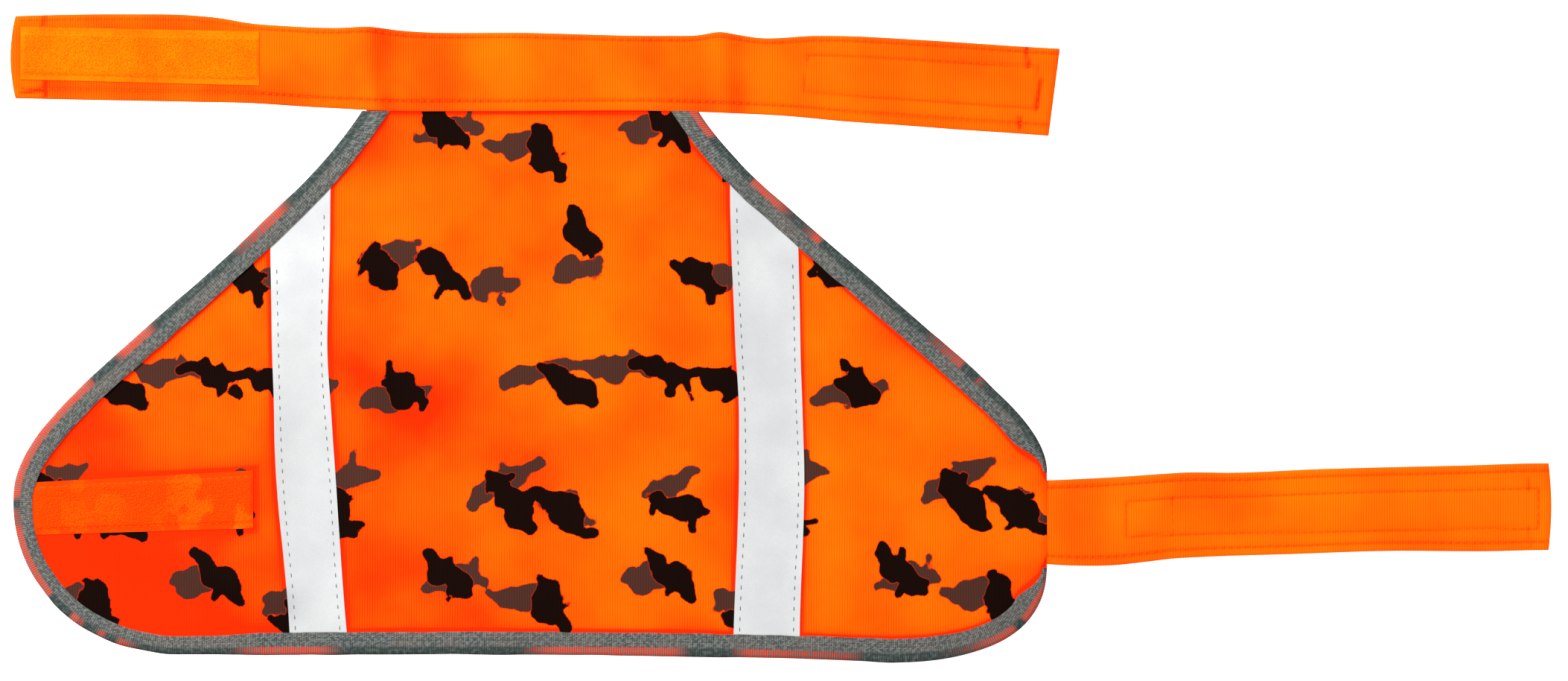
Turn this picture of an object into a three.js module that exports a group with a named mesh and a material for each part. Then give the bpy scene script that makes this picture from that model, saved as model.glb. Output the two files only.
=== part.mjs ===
// A blaze orange safety vest for a small dog, laid out flat with its face up.
// Units are millimetres. X runs across the animal's back, Y from the hem to the neck, Z up.
// The patterns are drawn with the spine at x = 0 and the hem at y = 0, and the finished vest
// is then moved so that the middle of its base is the origin.
import * as THREE from 'three';

// ---------------------------------------------------------------- driving sizes

// Body panel
const BODY_HALF_WIDTH = 194.5; // spine to side edge
const BODY_HEIGHT = 204.5; // hem to the lower edge of the neck strap
const NECK_HALF_WIDTH = 63.2; // spine to where the side edge meets the neck strap
const PANEL_THICKNESS = 1.0;
const PANEL_TUCK = 6.0; // depth of the neck edge inside the neck strap

// Edge binding, a tape folded over the edge of the panel
const BINDING_WIDTH = 8.6;
const BINDING_LAYER = 0.6;
const BINDING_END_WIDTH = 2.2; // where it runs out beside the belly strap
const BINDING_SEAM_SHARE = 0.72; // place of its row of stitches, as a share of its width

// Reflective tape. Each is laid between two places of its middle, measured from the spine.
const LEFT_TAPE_WIDTH = 22.6;
const LEFT_TAPE_FOOT = -80.2;
const LEFT_TAPE_TOP = -86.2;
const RIGHT_TAPE_WIDTH = 25.2;
const RIGHT_TAPE_FOOT = 89.0;
const RIGHT_TAPE_TOP = 88.4;
const TAPE_THICKNESS = 0.5;
const TAPE_SEAM_INSET = 2.2;

// Neck strap, one band folded along its upper edge
const NECK_STRAP_WIDTH = 29.6;
const NECK_END_WIDTH = 31.8;
const NECK_LEFT_LENGTH = 193.8; // spine to the left end
const NECK_RIGHT_LENGTH = 197.0; // spine to the right end
const NECK_LEFT_RISE = 5.2; // how far the left end lies above the middle
const NECK_RIGHT_DROP = 7.8; // how far the right end lies below the middle

// Belly strap, sewn under the right side edge
const BELLY_STRAP_WIDTH = 31.6;
const BELLY_STRAP_LENGTH = 189.0; // side edge to the free end
const BELLY_STRAP_HEIGHT = 50.7; // hem to the middle of the strap's root
const BELLY_STRAP_RISE = 5.2;
const BELLY_STRAP_THICKNESS = 2.0;
const BELLY_TAB_LENGTH = 10.0; // flat stretch between the side edge and the bend
const BELLY_LAP = 8.0; // strap end sewn under the panel
const BELLY_CORNER = 2.1; // straight side edge beyond the strap, above and below

// Hook and loop pads
const PAD_WIDTH = 20.0;
const LOOP_THICKNESS = 1.5;
const HOOK_THICKNESS = 1.2;
const NECK_LOOP_LENGTH = 90.0;
const NECK_HOOK_LENGTH = 90.0;
const BELLY_LOOP_LENGTH = 81.6;
const BELLY_LOOP_HEIGHT = 55.9; // hem to the middle of the pad's outer end
const BELLY_HOOK_LENGTH = 154.0;
const PAD_SEAM_INSET = 2.0;
const NECK_PAD_GAP = 2.6; // end of the left arm to its pad
const NECK_HOOK_GAP = 5.6; // end of the right arm to its pad, whose end is slanted
const BELLY_HOOK_GAP = 4.6; // end of the belly strap to its pad

// Sewing thread, drawn as a continuous row
const THREAD_WIDTH = 0.6;
const THREAD_HEIGHT = 0.4;
const FOLD_SEAM_INSET = 1.6; // row beside the folded edge of a strap
const CLOSING_SEAM_INSET = 3.6; // row that closes a strap's lower edge
const SEAM_END_INSET = 1.5; // from the end of a strap to the end of its rows

// Bends in the cloth
const NECK_BEND_LEFT = 68.0; // spine to the bend in the left neck arm
const NECK_BEND_RIGHT = 80.0;
const SPINE_BEND_LIMIT = 90; // degrees, either way
const NECK_BEND_LIMIT = 60;
const BELLY_BEND_LIMIT = 90;

// Gaps
const CLEARANCE = 0.3; // between pieces that lie against each other

// ---------------------------------------------------------------- heights of the layers

const PANEL_BASE = BINDING_LAYER + CLEARANCE;
const PANEL_TOP = PANEL_BASE + PANEL_THICKNESS;
const BINDING_TOP = PANEL_TOP + CLEARANCE + BINDING_LAYER;
const NECK_STRAP_THICKNESS = BINDING_TOP;
const ABOVE_PANEL = PANEL_TOP + CLEARANCE;
const ABOVE_HOOK = HOOK_THICKNESS + CLEARANCE;
const RIGHT_ARM_TOP = ABOVE_HOOK + NECK_STRAP_THICKNESS;
const BELLY_STRAP_TOP = ABOVE_HOOK + BELLY_STRAP_THICKNESS;

// Half the gap at a bend, so that two square ends can turn about the middle of the layers.
const bendGap = (layersTop, degrees) =>
  (layersTop / 2) * Math.tan(THREE.MathUtils.degToRad(degrees) / 2) + CLEARANCE;

// Rows of thread stand above the layers, so they end this much further from a bend.
const ROW_SETBACK = CLEARANCE + THREAD_HEIGHT;

const SPINE_GAP = bendGap(BINDING_TOP, SPINE_BEND_LIMIT);
const LEFT_ARM_GAP = bendGap(NECK_STRAP_THICKNESS, NECK_BEND_LIMIT);
const RIGHT_ARM_GAP = bendGap(RIGHT_ARM_TOP, NECK_BEND_LIMIT);
const BELLY_GAP = bendGap(BELLY_STRAP_TOP, BELLY_BEND_LIMIT);

// ---------------------------------------------------------------- finishes

const finish = (color, roughness) => new THREE.MeshStandardMaterial({ color, roughness, metalness: 0 });
const orangePrint = finish(0xff6208, 0.85);
const orangeKnit = finish(0xff7a00, 0.85);
const orangePile = finish(0xff7d08, 0.95);
const greyBinding = finish(0x5f6a67, 0.9);
const silverTape = finish(0xd9dad8, 0.45);
const orangeThread = finish(0xf05a00, 0.7);
const greyThread = finish(0x6f7674, 0.7);

// ---------------------------------------------------------------- shape helpers

const vest = new THREE.Group();

function addPiece(name, geometry, material) {
  const mesh = new THREE.Mesh(geometry, material);
  mesh.name = name;
  vest.add(mesh);
}

const point = (x, y) => new THREE.Vector2(x, y);

// A flat piece: an outline, with optional holes, between two heights.
function plate(outline, base, top, holes = []) {
  const shape = new THREE.Shape(outline);
  shape.holes = holes.map((hole) => new THREE.Path(hole));
  const geometry = new THREE.ExtrudeGeometry(shape, { depth: top - base, bevelEnabled: false });
  return geometry.translate(0, 0, base);
}

// The triangles that fill a section, turning the same way as its outline.
function sectionFaces(section) {
  const faces = THREE.ShapeUtils.triangulateShape(section, []);
  return THREE.ShapeUtils.isClockWise(section) ? faces.map(([a, b, c]) => [a, c, b]) : faces;
}

// A closed body through rings of equal count. capFaces are the triangles of one end.
function loft(rings, capFaces) {
  const count = rings[0].length;
  const last = (rings.length - 1) * count;
  const positions = rings.flat().flatMap((v) => [v.x, v.y, v.z]);
  const faces = [];
  for (let ring = 0; ring < rings.length - 1; ring += 1) {
    for (let i = 0; i < count; i += 1) {
      const a = ring * count + i;
      const b = ring * count + ((i + 1) % count);
      faces.push(a, b, b + count, a, b + count, a + count);
    }
  }
  for (const [a, b, c] of capFaces) {
    faces.push(a, c, b, last + a, last + b, last + c);
  }
  const geometry = new THREE.BufferGeometry();
  geometry.setAttribute('position', new THREE.Float32BufferAttribute(positions, 3));
  geometry.setIndex(signedVolume(positions, faces) < 0 ? faces.reverse() : faces);
  return geometry;
}

function signedVolume(positions, faces) {
  const at = (i) => new THREE.Vector3().fromArray(positions, 3 * i);
  let sum = 0;
  for (let i = 0; i < faces.length; i += 3) {
    sum += at(faces[i]).dot(at(faces[i + 1]).cross(at(faces[i + 2]))) / 6;
  }
  return sum;
}

// Points moved sideways from a path: positive distances go to the left of its direction.
// Corners are mitred.
function offsetPath(points, distances) {
  return points.map((p, i) => {
    const before = points[Math.max(i - 1, 0)];
    const after = points[Math.min(i + 1, points.length - 1)];
    const into = (i === 0 ? after.clone().sub(p) : p.clone().sub(before)).normalize();
    const out = (i === points.length - 1 ? into.clone() : after.clone().sub(p)).normalize();
    const along = into.clone().add(out).normalize();
    const mitre = 1 / Math.max(along.dot(into), 0.5);
    return point(p.x - along.y * distances[i] * mitre, p.y + along.x * distances[i] * mitre);
  });
}

const evenly = (points, distance) => points.map(() => distance);

// A row of sewing thread along a path.
function threadRow(points, base) {
  const left = offsetPath(points, evenly(points, THREAD_WIDTH / 2));
  const right = offsetPath(points, evenly(points, -THREAD_WIDTH / 2));
  return plate([...left, ...right.reverse()], base, base + THREAD_HEIGHT);
}

// The part of a path below a height, with its last point on that height.
function clipBelow(points, limit) {
  const kept = [points[0]];
  for (let i = 1; i < points.length; i += 1) {
    if (points[i].y > limit) {
      const t = (limit - points[i - 1].y) / (points[i].y - points[i - 1].y);
      kept.push(points[i - 1].clone().lerp(points[i], t));
      return kept;
    }
    kept.push(points[i]);
  }
  return kept;
}

// The same path as a given number of points, evenly spread along its length.
function respace(points, count) {
  const lengths = [0];
  for (let i = 1; i < points.length; i += 1) {
    lengths.push(lengths[i - 1] + points[i].distanceTo(points[i - 1]));
  }
  const total = lengths[lengths.length - 1];
  const spaced = [];
  let i = 1;
  for (let k = 0; k < count; k += 1) {
    const target = (total * k) / (count - 1);
    while (i < points.length - 1 && lengths[i] < target) {
      i += 1;
    }
    const t = (target - lengths[i - 1]) / (lengths[i] - lengths[i - 1]);
    spaced.push(points[i - 1].clone().lerp(points[i], Math.min(t, 1)));
  }
  return spaced;
}

// ---------------------------------------------------------------- outline of the body

const bellyLow = BELLY_STRAP_HEIGHT - BELLY_STRAP_WIDTH / 2 - BELLY_CORNER;
const bellyHigh = BELLY_STRAP_HEIGHT + BELLY_STRAP_WIDTH / 2 + BELLY_CORNER;

// hemDrop      how far the hem sinks before the lower corner
// corner       reach of the lower corner across and up, and how full it is
// edge         low and high end of the straight side edge
// round        reach of the upper corner across and up
// bow          two pulls that hollow the shoulder: share of its length, and depth
const LEFT = {
  sign: -1,
  hemDrop: 0,
  corner: { across: 64.5, fullAcross: 0.65, fullUp: 0.48 },
  edge: [57.5, 58.5],
  round: { across: 22, up: 39 },
  bow: [[0.33, 1], [0.73, 8.6]],
};
const RIGHT = {
  sign: 1,
  hemDrop: 2.6,
  corner: { across: 59.5, fullAcross: 0.67, fullUp: 0.65 },
  edge: [bellyLow, bellyHigh],
  round: { across: 19.8, up: 31.1 },
  bow: [[0.49, 0.7], [0.81, 7.6]],
};

// Each side of the body as runs of points, from the spine along the hem and up to the neck.
function bodyEdge(side) {
  const edgeX = side.sign * BODY_HALF_WIDTH;
  const hem = point(side.sign * SPINE_GAP, 0);
  const corner = point(edgeX - side.sign * side.corner.across, -side.hemDrop);
  const low = point(edgeX, side.edge[0]);
  const high = point(edgeX, side.edge[1]);
  const round = point(edgeX - side.sign * side.round.across, high.y + side.round.up);
  const neck = point(side.sign * NECK_HALF_WIDTH, BODY_HEIGHT);
  const chord = neck.clone().sub(round);
  const inward = point(-chord.y, chord.x).multiplyScalar(side.sign / chord.length());
  const [lowPull, highPull] = side.bow.map(([share, depth]) =>
    round.clone().addScaledVector(chord, share).addScaledVector(inward, depth));

  const hemRun = new THREE.QuadraticBezierCurve(hem, point((hem.x + corner.x) / 2, 0), corner);
  const cornerRun = new THREE.CubicBezierCurve(
    corner,
    point(corner.x + side.sign * side.corner.across * side.corner.fullAcross, corner.y),
    point(edgeX, low.y - (low.y - corner.y) * side.corner.fullUp),
    low,
  );
  const roundRun = new THREE.QuadraticBezierCurve(high, point(edgeX, high.y + side.round.up * 0.45), round);
  const shoulderRun = new THREE.CubicBezierCurve(round, lowPull, highPull, neck);
  const onward = neck.clone().sub(highPull).normalize().multiplyScalar(2 * BINDING_WIDTH);

  const lower = [...hemRun.getPoints(3), ...cornerRun.getPoints(10).slice(1)];
  const upper = [...roundRun.getPoints(5), ...shoulderRun.getPoints(10).slice(1), neck.clone().add(onward)];
  return { lower, upper, whole: [...lower, ...upper] };
}

const pathLength = (points) =>
  points.slice(1).reduce((sum, p, i) => sum + p.distanceTo(points[i]), 0);

// The edge moved into the body, and ended at a height.
function insetEdge(points, side, distances, limit) {
  const moved = offsetPath(points, distances.map((d) => d * side.sign));
  return clipBelow(moved, limit);
}

const leftEdge = bodyEdge(LEFT);
const rightEdge = bodyEdge(RIGHT);
const neckLimit = BODY_HEIGHT - CLEARANCE;

// A line along a run of the edge, at given distances in from it. Every rail of one run has the
// same stations, so that the pieces along the edge stay the same distance apart.
const STATION_SPACING = 9;

function rail(run, side, distances) {
  const stations = Math.ceil(pathLength(run) / STATION_SPACING);
  return respace(insetEdge(run, side, distances, neckLimit), stations);
}

// ---------------------------------------------------------------- body panel

// One cloth. It is drawn in two halves, which bend about the spine.
function panelHalf(side, runs) {
  const rim = runs.flatMap((run) => rail(run, side, evenly(run, BINDING_LAYER + CLEARANCE)));
  const neckX = rim[rim.length - 1].x;
  const outline = [
    ...rim,
    point(neckX, BODY_HEIGHT + PANEL_TUCK),
    point(side.sign * SPINE_GAP, BODY_HEIGHT + PANEL_TUCK),
  ];
  return plate(outline, PANEL_BASE, PANEL_TOP);
}

addPiece('body_panel_left', panelHalf(LEFT, [leftEdge.whole]), orangePrint);
addPiece('body_panel_right', panelHalf(RIGHT, [rightEdge.lower, rightEdge.upper]), orangePrint);

// ---------------------------------------------------------------- edge binding

// The tape's section, as a distance in from the edge and a height: a U around the panel.
// 'outer', 'fold' and 'inner' name the rails that the corners run on.
const BINDING_SECTION = [
  ['outer', 0],
  ['outer', BINDING_TOP],
  ['inner', BINDING_TOP],
  ['inner', BINDING_TOP - BINDING_LAYER],
  ['fold', BINDING_TOP - BINDING_LAYER],
  ['fold', BINDING_LAYER],
  ['inner', BINDING_LAYER],
  ['inner', 0],
];

function bindingRun(run, side, widths) {
  const rails = {
    outer: rail(run, side, evenly(run, 0)),
    fold: rail(run, side, evenly(run, BINDING_LAYER)),
    inner: rail(run, side, widths),
  };
  const rings = rails.outer.map((_, k) =>
    BINDING_SECTION.map(([name, z]) => new THREE.Vector3(rails[name][k].x, rails[name][k].y, z)));
  const flat = { outer: 0, fold: 1, inner: 2 };
  const section = BINDING_SECTION.map(([name, z]) => point(flat[name], z));
  return loft(rings, sectionFaces(section));
}

// Widths that run down to the narrow end over the last points of a run.
function taperToEnd(points, count) {
  return points.map((_, i) => {
    const left = points.length - 1 - i;
    const share = Math.min(left / count, 1);
    return BINDING_END_WIDTH + (BINDING_WIDTH - BINDING_END_WIDTH) * share;
  });
}

const lowerWidths = taperToEnd(rightEdge.lower, 6);
const upperWidths = taperToEnd([...rightEdge.upper].reverse(), 4).reverse();
const leftWidths = evenly(leftEdge.whole, BINDING_WIDTH);
addPiece('binding_left', bindingRun(leftEdge.whole, LEFT, leftWidths), greyBinding);
addPiece('binding_right_lower', bindingRun(rightEdge.lower, RIGHT, lowerWidths), greyBinding);
addPiece('binding_right_upper', bindingRun(rightEdge.upper, RIGHT, upperWidths), greyBinding);

// A row that meets the spine starts clear of the row on the other side.
function bindingSeam(run, side, distances) {
  const row = rail(run, side, distances);
  if (run[0].y === 0) {
    row[0].x += side.sign * ROW_SETBACK;
  }
  return threadRow(row, BINDING_TOP + CLEARANCE);
}

addPiece(
  'binding_left_seam',
  bindingSeam(leftEdge.whole, LEFT, leftWidths.map((w) => w * BINDING_SEAM_SHARE)),
  greyThread,
);
addPiece(
  'binding_right_lower_seam',
  bindingSeam(rightEdge.lower, RIGHT, lowerWidths.map((w) => w * BINDING_SEAM_SHARE)),
  greyThread,
);
addPiece(
  'binding_right_upper_seam',
  bindingSeam(rightEdge.upper, RIGHT, upperWidths.map((w) => w * BINDING_SEAM_SHARE)),
  greyThread,
);

// ---------------------------------------------------------------- reflective tape

// Height of a side's edge at a place across the body, on its upper or its lower run.
function edgeHeight(points, x) {
  for (let i = 1; i < points.length; i += 1) {
    const [a, b] = [points[i - 1], points[i]];
    if ((a.x - x) * (b.x - x) <= 0 && a.x !== b.x) {
      return a.y + ((x - a.x) / (b.x - a.x)) * (b.y - a.y);
    }
  }
  return NaN;
}

// A tape runs from the hem binding to the shoulder binding.
function tapeRun(side, edge, foot, top, width) {
  const innerRim = insetEdge(
    edge.whole, side, evenly(edge.whole, BINDING_WIDTH + CLEARANCE), BODY_HEIGHT + BINDING_WIDTH,
  );
  const lowRim = innerRim.slice(0, edge.lower.length);
  const highRim = innerRim.slice(edge.lower.length - 1);
  const edgeLine = (shift) => {
    const [footX, topX] = [foot + shift, top + shift];
    return [point(footX, edgeHeight(lowRim, footX)), point(topX, edgeHeight(highRim, topX))];
  };
  const [lowA, highA] = edgeLine(-width / 2);
  const [lowB, highB] = edgeLine(width / 2);
  const tape = plate([lowA, lowB, highB, highA], ABOVE_PANEL, ABOVE_PANEL + TAPE_THICKNESS);
  const seams = [-1, 1].map((sign) => {
    const row = edgeLine(sign * (width / 2 - TAPE_SEAM_INSET));
    row[0].y += TAPE_SEAM_INSET;
    row[1].y -= TAPE_SEAM_INSET;
    return threadRow(row, ABOVE_PANEL + TAPE_THICKNESS + CLEARANCE);
  });
  return { tape, seams };
}

const leftTape = tapeRun(LEFT, leftEdge, LEFT_TAPE_FOOT, LEFT_TAPE_TOP, LEFT_TAPE_WIDTH);
const rightTape = tapeRun(RIGHT, rightEdge, RIGHT_TAPE_FOOT, RIGHT_TAPE_TOP, RIGHT_TAPE_WIDTH);
addPiece('reflective_tape_left', leftTape.tape, silverTape);
addPiece('reflective_tape_right', rightTape.tape, silverTape);
addPiece('tape_left_outer_seam', leftTape.seams[0], greyThread);
addPiece('tape_left_inner_seam', leftTape.seams[1], greyThread);
addPiece('tape_right_inner_seam', rightTape.seams[0], greyThread);
addPiece('tape_right_outer_seam', rightTape.seams[1], greyThread);

// ---------------------------------------------------------------- neck strap, middle

// The band's section over the panel, in height above the hem and in Z: a fold at the top,
// and a slot along the lower edge that holds the neck edge of the panel.
const slotDepth = PANEL_TUCK + CLEARANCE;
const neckTop = BODY_HEIGHT + NECK_STRAP_WIDTH;
const NECK_SECTION = [
  point(BODY_HEIGHT, 0),
  point(neckTop, 0),
  point(neckTop, NECK_STRAP_THICKNESS),
  point(BODY_HEIGHT, NECK_STRAP_THICKNESS),
  point(BODY_HEIGHT, NECK_STRAP_THICKNESS - BINDING_LAYER),
  point(BODY_HEIGHT + slotDepth, NECK_STRAP_THICKNESS - BINDING_LAYER),
  point(BODY_HEIGHT + slotDepth, BINDING_LAYER),
  point(BODY_HEIGHT, BINDING_LAYER),
];
const neckFaces = sectionFaces(NECK_SECTION);

function neckMiddle(side, bend, gap) {
  const span = [side.sign * SPINE_GAP, side.sign * (bend - gap)];
  const rings = span.map((x) => NECK_SECTION.map((p) => new THREE.Vector3(x, p.x, p.y)));
  const rowSpan = [span[0] + side.sign * ROW_SETBACK, span[1] - side.sign * ROW_SETBACK];
  const row = (y) => threadRow(rowSpan.map((x) => point(x, y)), NECK_STRAP_THICKNESS + CLEARANCE);
  return {
    strap: loft(rings, neckFaces),
    closing: row(BODY_HEIGHT + CLOSING_SEAM_INSET),
    fold: row(neckTop - FOLD_SEAM_INSET),
  };
}

const neckLeft = neckMiddle(LEFT, NECK_BEND_LEFT, LEFT_ARM_GAP);
const neckRight = neckMiddle(RIGHT, NECK_BEND_RIGHT, RIGHT_ARM_GAP);
addPiece('neck_strap_mid_left', neckLeft.strap, orangeKnit);
addPiece('neck_strap_mid_right', neckRight.strap, orangeKnit);
addPiece('neck_closing_seam_left', neckLeft.closing, orangeThread);
addPiece('neck_closing_seam_right', neckRight.closing, orangeThread);
addPiece('neck_fold_seam_left', neckLeft.fold, orangeThread);
addPiece('neck_fold_seam_right', neckRight.fold, orangeThread);

// ---------------------------------------------------------------- free arms of the straps

// An arm is laid along a gently curved middle line from its root to its end.
// bow is how far the end swells outwards, and slant how far its upper corner runs past the
// lower one.
const ARM_STEPS = 8;

function armLines(arm) {
  const middle = new THREE.QuadraticBezierCurve(arm.root, arm.pull, arm.end).getPoints(ARM_STEPS);
  const outward = Math.sign(arm.end.x - arm.root.x);
  const edgeLine = (up, inset = 0, endInset = 0) => middle.map((p, i) => {
    const share = i / ARM_STEPS;
    const half = THREE.MathUtils.lerp(arm.rootWidth, arm.endWidth, share) / 2 - inset;
    const reach = outward * share * ((up * arm.slant) / 2 - arm.bow - endInset);
    return point(p.x + reach, p.y + up * half);
  });
  return { edgeLine, outward };
}

function armPlate(arm, base, top) {
  const { edgeLine } = armLines(arm);
  return plate([...edgeLine(-1), arm.end.clone(), ...edgeLine(1).reverse()], base, top);
}

// Two rows of thread, one along the closed lower edge and one along the fold.
function addArmSeams(name, arm, base) {
  const { edgeLine, outward } = armLines(arm);
  const closing = edgeLine(-1, CLOSING_SEAM_INSET, SEAM_END_INSET);
  const fold = edgeLine(1, FOLD_SEAM_INSET, SEAM_END_INSET);
  closing[0].x += outward * ROW_SETBACK;
  fold[0].x += outward * ROW_SETBACK;
  addPiece(`${name}_closing_seam`, threadRow(closing, base), orangeThread);
  addPiece(`${name}_fold_seam`, threadRow(fold, base), orangeThread);
}

// A straight pad between two places on its middle line.
function padOutline(from, to, width) {
  const along = to.clone().sub(from).normalize();
  const across = point(-along.y, along.x).multiplyScalar(width / 2);
  return [
    from.clone().sub(across),
    to.clone().sub(across),
    to.clone().add(across),
    from.clone().add(across),
  ];
}

// A closed row of thread around a pad.
function padSeam(from, to, base) {
  const along = to.clone().sub(from).normalize();
  const ring = (inset) => padOutline(
    from.clone().addScaledVector(along, inset),
    to.clone().addScaledVector(along, -inset),
    PAD_WIDTH - 2 * inset,
  );
  const outer = ring(PAD_SEAM_INSET);
  const inner = ring(PAD_SEAM_INSET + THREAD_WIDTH);
  return plate(outer, base, base + THREAD_HEIGHT, [inner]);
}

const neckMiddleY = BODY_HEIGHT + NECK_STRAP_WIDTH / 2;
const leftArm = {
  root: point(-(NECK_BEND_LEFT + LEFT_ARM_GAP), neckMiddleY + 0.9),
  pull: point(-(NECK_BEND_LEFT + 50), neckMiddleY + NECK_LEFT_RISE),
  end: point(-NECK_LEFT_LENGTH, neckMiddleY + NECK_LEFT_RISE),
  rootWidth: NECK_STRAP_WIDTH,
  endWidth: NECK_END_WIDTH,
  bow: 2.6,
  slant: 0,
};
const rightArm = {
  root: point(NECK_BEND_RIGHT + RIGHT_ARM_GAP, neckMiddleY - 1.2),
  pull: point((NECK_BEND_RIGHT + NECK_RIGHT_LENGTH) / 2, neckMiddleY - 3.6),
  end: point(NECK_RIGHT_LENGTH, neckMiddleY - NECK_RIGHT_DROP),
  rootWidth: NECK_STRAP_WIDTH,
  endWidth: NECK_END_WIDTH,
  bow: 0,
  slant: 4.2,
};
addPiece('neck_arm_left', armPlate(leftArm, 0, NECK_STRAP_THICKNESS), orangeKnit);
addPiece('neck_arm_right', armPlate(rightArm, ABOVE_HOOK, RIGHT_ARM_TOP), orangeKnit);
addArmSeams('neck_arm_left', leftArm, NECK_STRAP_THICKNESS + CLEARANCE);
addArmSeams('neck_arm_right', rightArm, RIGHT_ARM_TOP + CLEARANCE);

// Neck closure: loops on the face of the left arm, hooks on the underside of the right arm.
// A pad's outer end lies a little off the middle of its strap, and its inner end lies off the
// line of the outer one, as the strap curves.
const loopEnd = leftArm.end.clone().add(point(NECK_PAD_GAP, 1.2));
const loopStart = loopEnd.clone().add(point(NECK_LOOP_LENGTH, -1.8));
const loopBase = NECK_STRAP_THICKNESS + CLEARANCE;
addPiece(
  'neck_loop_pad',
  plate(padOutline(loopEnd, loopStart, PAD_WIDTH), loopBase, loopBase + LOOP_THICKNESS),
  orangePile,
);
addPiece(
  'neck_loop_seam',
  padSeam(loopEnd, loopStart, loopBase + LOOP_THICKNESS + CLEARANCE),
  orangeThread,
);

const hookEnd = rightArm.end.clone().add(point(-NECK_HOOK_GAP, 1.0));
const hookStart = hookEnd.clone().add(point(-NECK_HOOK_LENGTH, 5.6));
addPiece('neck_hook_pad', plate(padOutline(hookStart, hookEnd, PAD_WIDTH), 0, HOOK_THICKNESS), orangePile);

// ---------------------------------------------------------------- belly strap

// The strap's root is lapped under the side edge of the panel.
const bellyBend = BODY_HALF_WIDTH + BELLY_TAB_LENGTH;
const panelSide = BODY_HALF_WIDTH - BINDING_LAYER - CLEARANCE;

function bellyTab() {
  const near = panelSide + CLEARANCE;
  const far = bellyBend - BELLY_GAP;
  const profile = [
    point(panelSide - BELLY_LAP, 0),
    point(far, 0),
    point(far, BELLY_STRAP_THICKNESS),
    point(near, BELLY_STRAP_THICKNESS),
    point(near, BINDING_LAYER),
    point(panelSide - BELLY_LAP, BINDING_LAYER),
  ];
  const rings = [-1, 1].map((side) => profile.map((p) =>
    new THREE.Vector3(p.x, BELLY_STRAP_HEIGHT + (side * BELLY_STRAP_WIDTH) / 2, p.y)));
  return loft(rings, sectionFaces(profile));
}

const bellyEndX = BODY_HALF_WIDTH + BELLY_STRAP_LENGTH;
const bellyArm = {
  root: point(bellyBend + BELLY_GAP, BELLY_STRAP_HEIGHT - 0.8),
  pull: point((bellyBend + bellyEndX) / 2 - 20, BELLY_STRAP_HEIGHT + 4.2),
  end: point(bellyEndX, BELLY_STRAP_HEIGHT + BELLY_STRAP_RISE),
  rootWidth: BELLY_STRAP_WIDTH,
  endWidth: BELLY_STRAP_WIDTH,
  bow: 1.0,
  slant: 0,
};
const joinHalf = BELLY_STRAP_WIDTH / 2 - FOLD_SEAM_INSET;
addPiece('belly_strap_root', bellyTab(), orangeKnit);
addPiece('belly_strap', armPlate(bellyArm, ABOVE_HOOK, BELLY_STRAP_TOP), orangeKnit);
addArmSeams('belly_strap', bellyArm, BELLY_STRAP_TOP + CLEARANCE);
addPiece(
  'belly_join_seam',
  threadRow(
    [
      point(panelSide - BELLY_LAP / 2, BELLY_STRAP_HEIGHT - joinHalf),
      point(panelSide - BELLY_LAP / 2, BELLY_STRAP_HEIGHT + joinHalf),
    ],
    ABOVE_PANEL,
  ),
  orangeThread,
);

// Belly closure: hooks on the underside of the strap, loops on the face of the left flank.
const bellyHookEnd = bellyArm.end.clone().add(point(-BELLY_HOOK_GAP, -0.2));
const bellyHookStart = bellyHookEnd.clone().add(point(-BELLY_HOOK_LENGTH, -3.4));
addPiece(
  'belly_hook_pad',
  plate(padOutline(bellyHookStart, bellyHookEnd, PAD_WIDTH), 0, HOOK_THICKNESS),
  orangePile,
);

// The seam that holds each hook pad shows on the face of its strap, inside the strap's own row.
addPiece('neck_hook_seam', padSeam(hookStart, hookEnd, RIGHT_ARM_TOP + CLEARANCE), orangeThread);
addPiece(
  'belly_hook_seam',
  padSeam(bellyHookStart, bellyHookEnd, BELLY_STRAP_TOP + CLEARANCE),
  orangeThread,
);

// The loop pad's outer end is cut along the inner edge of the binding.
const padLimit = rail(leftEdge.whole, LEFT, evenly(leftEdge.whole, BINDING_WIDTH + CLEARANCE));

function edgeAcross(points, y) {
  for (let i = points.length - 1; i > 0; i -= 1) {
    const [a, b] = [points[i - 1], points[i]];
    if ((a.y - y) * (b.y - y) <= 0 && a.y !== b.y) {
      return a.x + ((y - a.y) / (b.y - a.y)) * (b.x - a.x);
    }
  }
  return NaN;
}

const bellyLoopOuter = point(edgeAcross(padLimit, BELLY_LOOP_HEIGHT), BELLY_LOOP_HEIGHT);
const bellyLoopInner = bellyLoopOuter.clone().add(point(BELLY_LOOP_LENGTH, 4.2));
const bellyLoopOutline = padOutline(bellyLoopOuter, bellyLoopInner, PAD_WIDTH);
for (const corner of [bellyLoopOutline[0], bellyLoopOutline[3]]) {
  corner.x = edgeAcross(padLimit, corner.y);
}
const innermostCorner = Math.max(bellyLoopOutline[0].x, bellyLoopOutline[3].x);
addPiece(
  'belly_loop_pad',
  plate(bellyLoopOutline, ABOVE_PANEL, ABOVE_PANEL + LOOP_THICKNESS),
  orangePile,
);
addPiece(
  'belly_loop_seam',
  padSeam(
    point(innermostCorner, bellyLoopOuter.y),
    bellyLoopInner,
    ABOVE_PANEL + LOOP_THICKNESS + CLEARANCE,
  ),
  orangeThread,
);

// ---------------------------------------------------------------- frame

// The middle of the base is the origin.
const box = new THREE.Box3().setFromObject(vest);
const middle = box.getCenter(new THREE.Vector3());
vest.position.set(-middle.x, -middle.y, -box.min.z);

export default vest;
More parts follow.
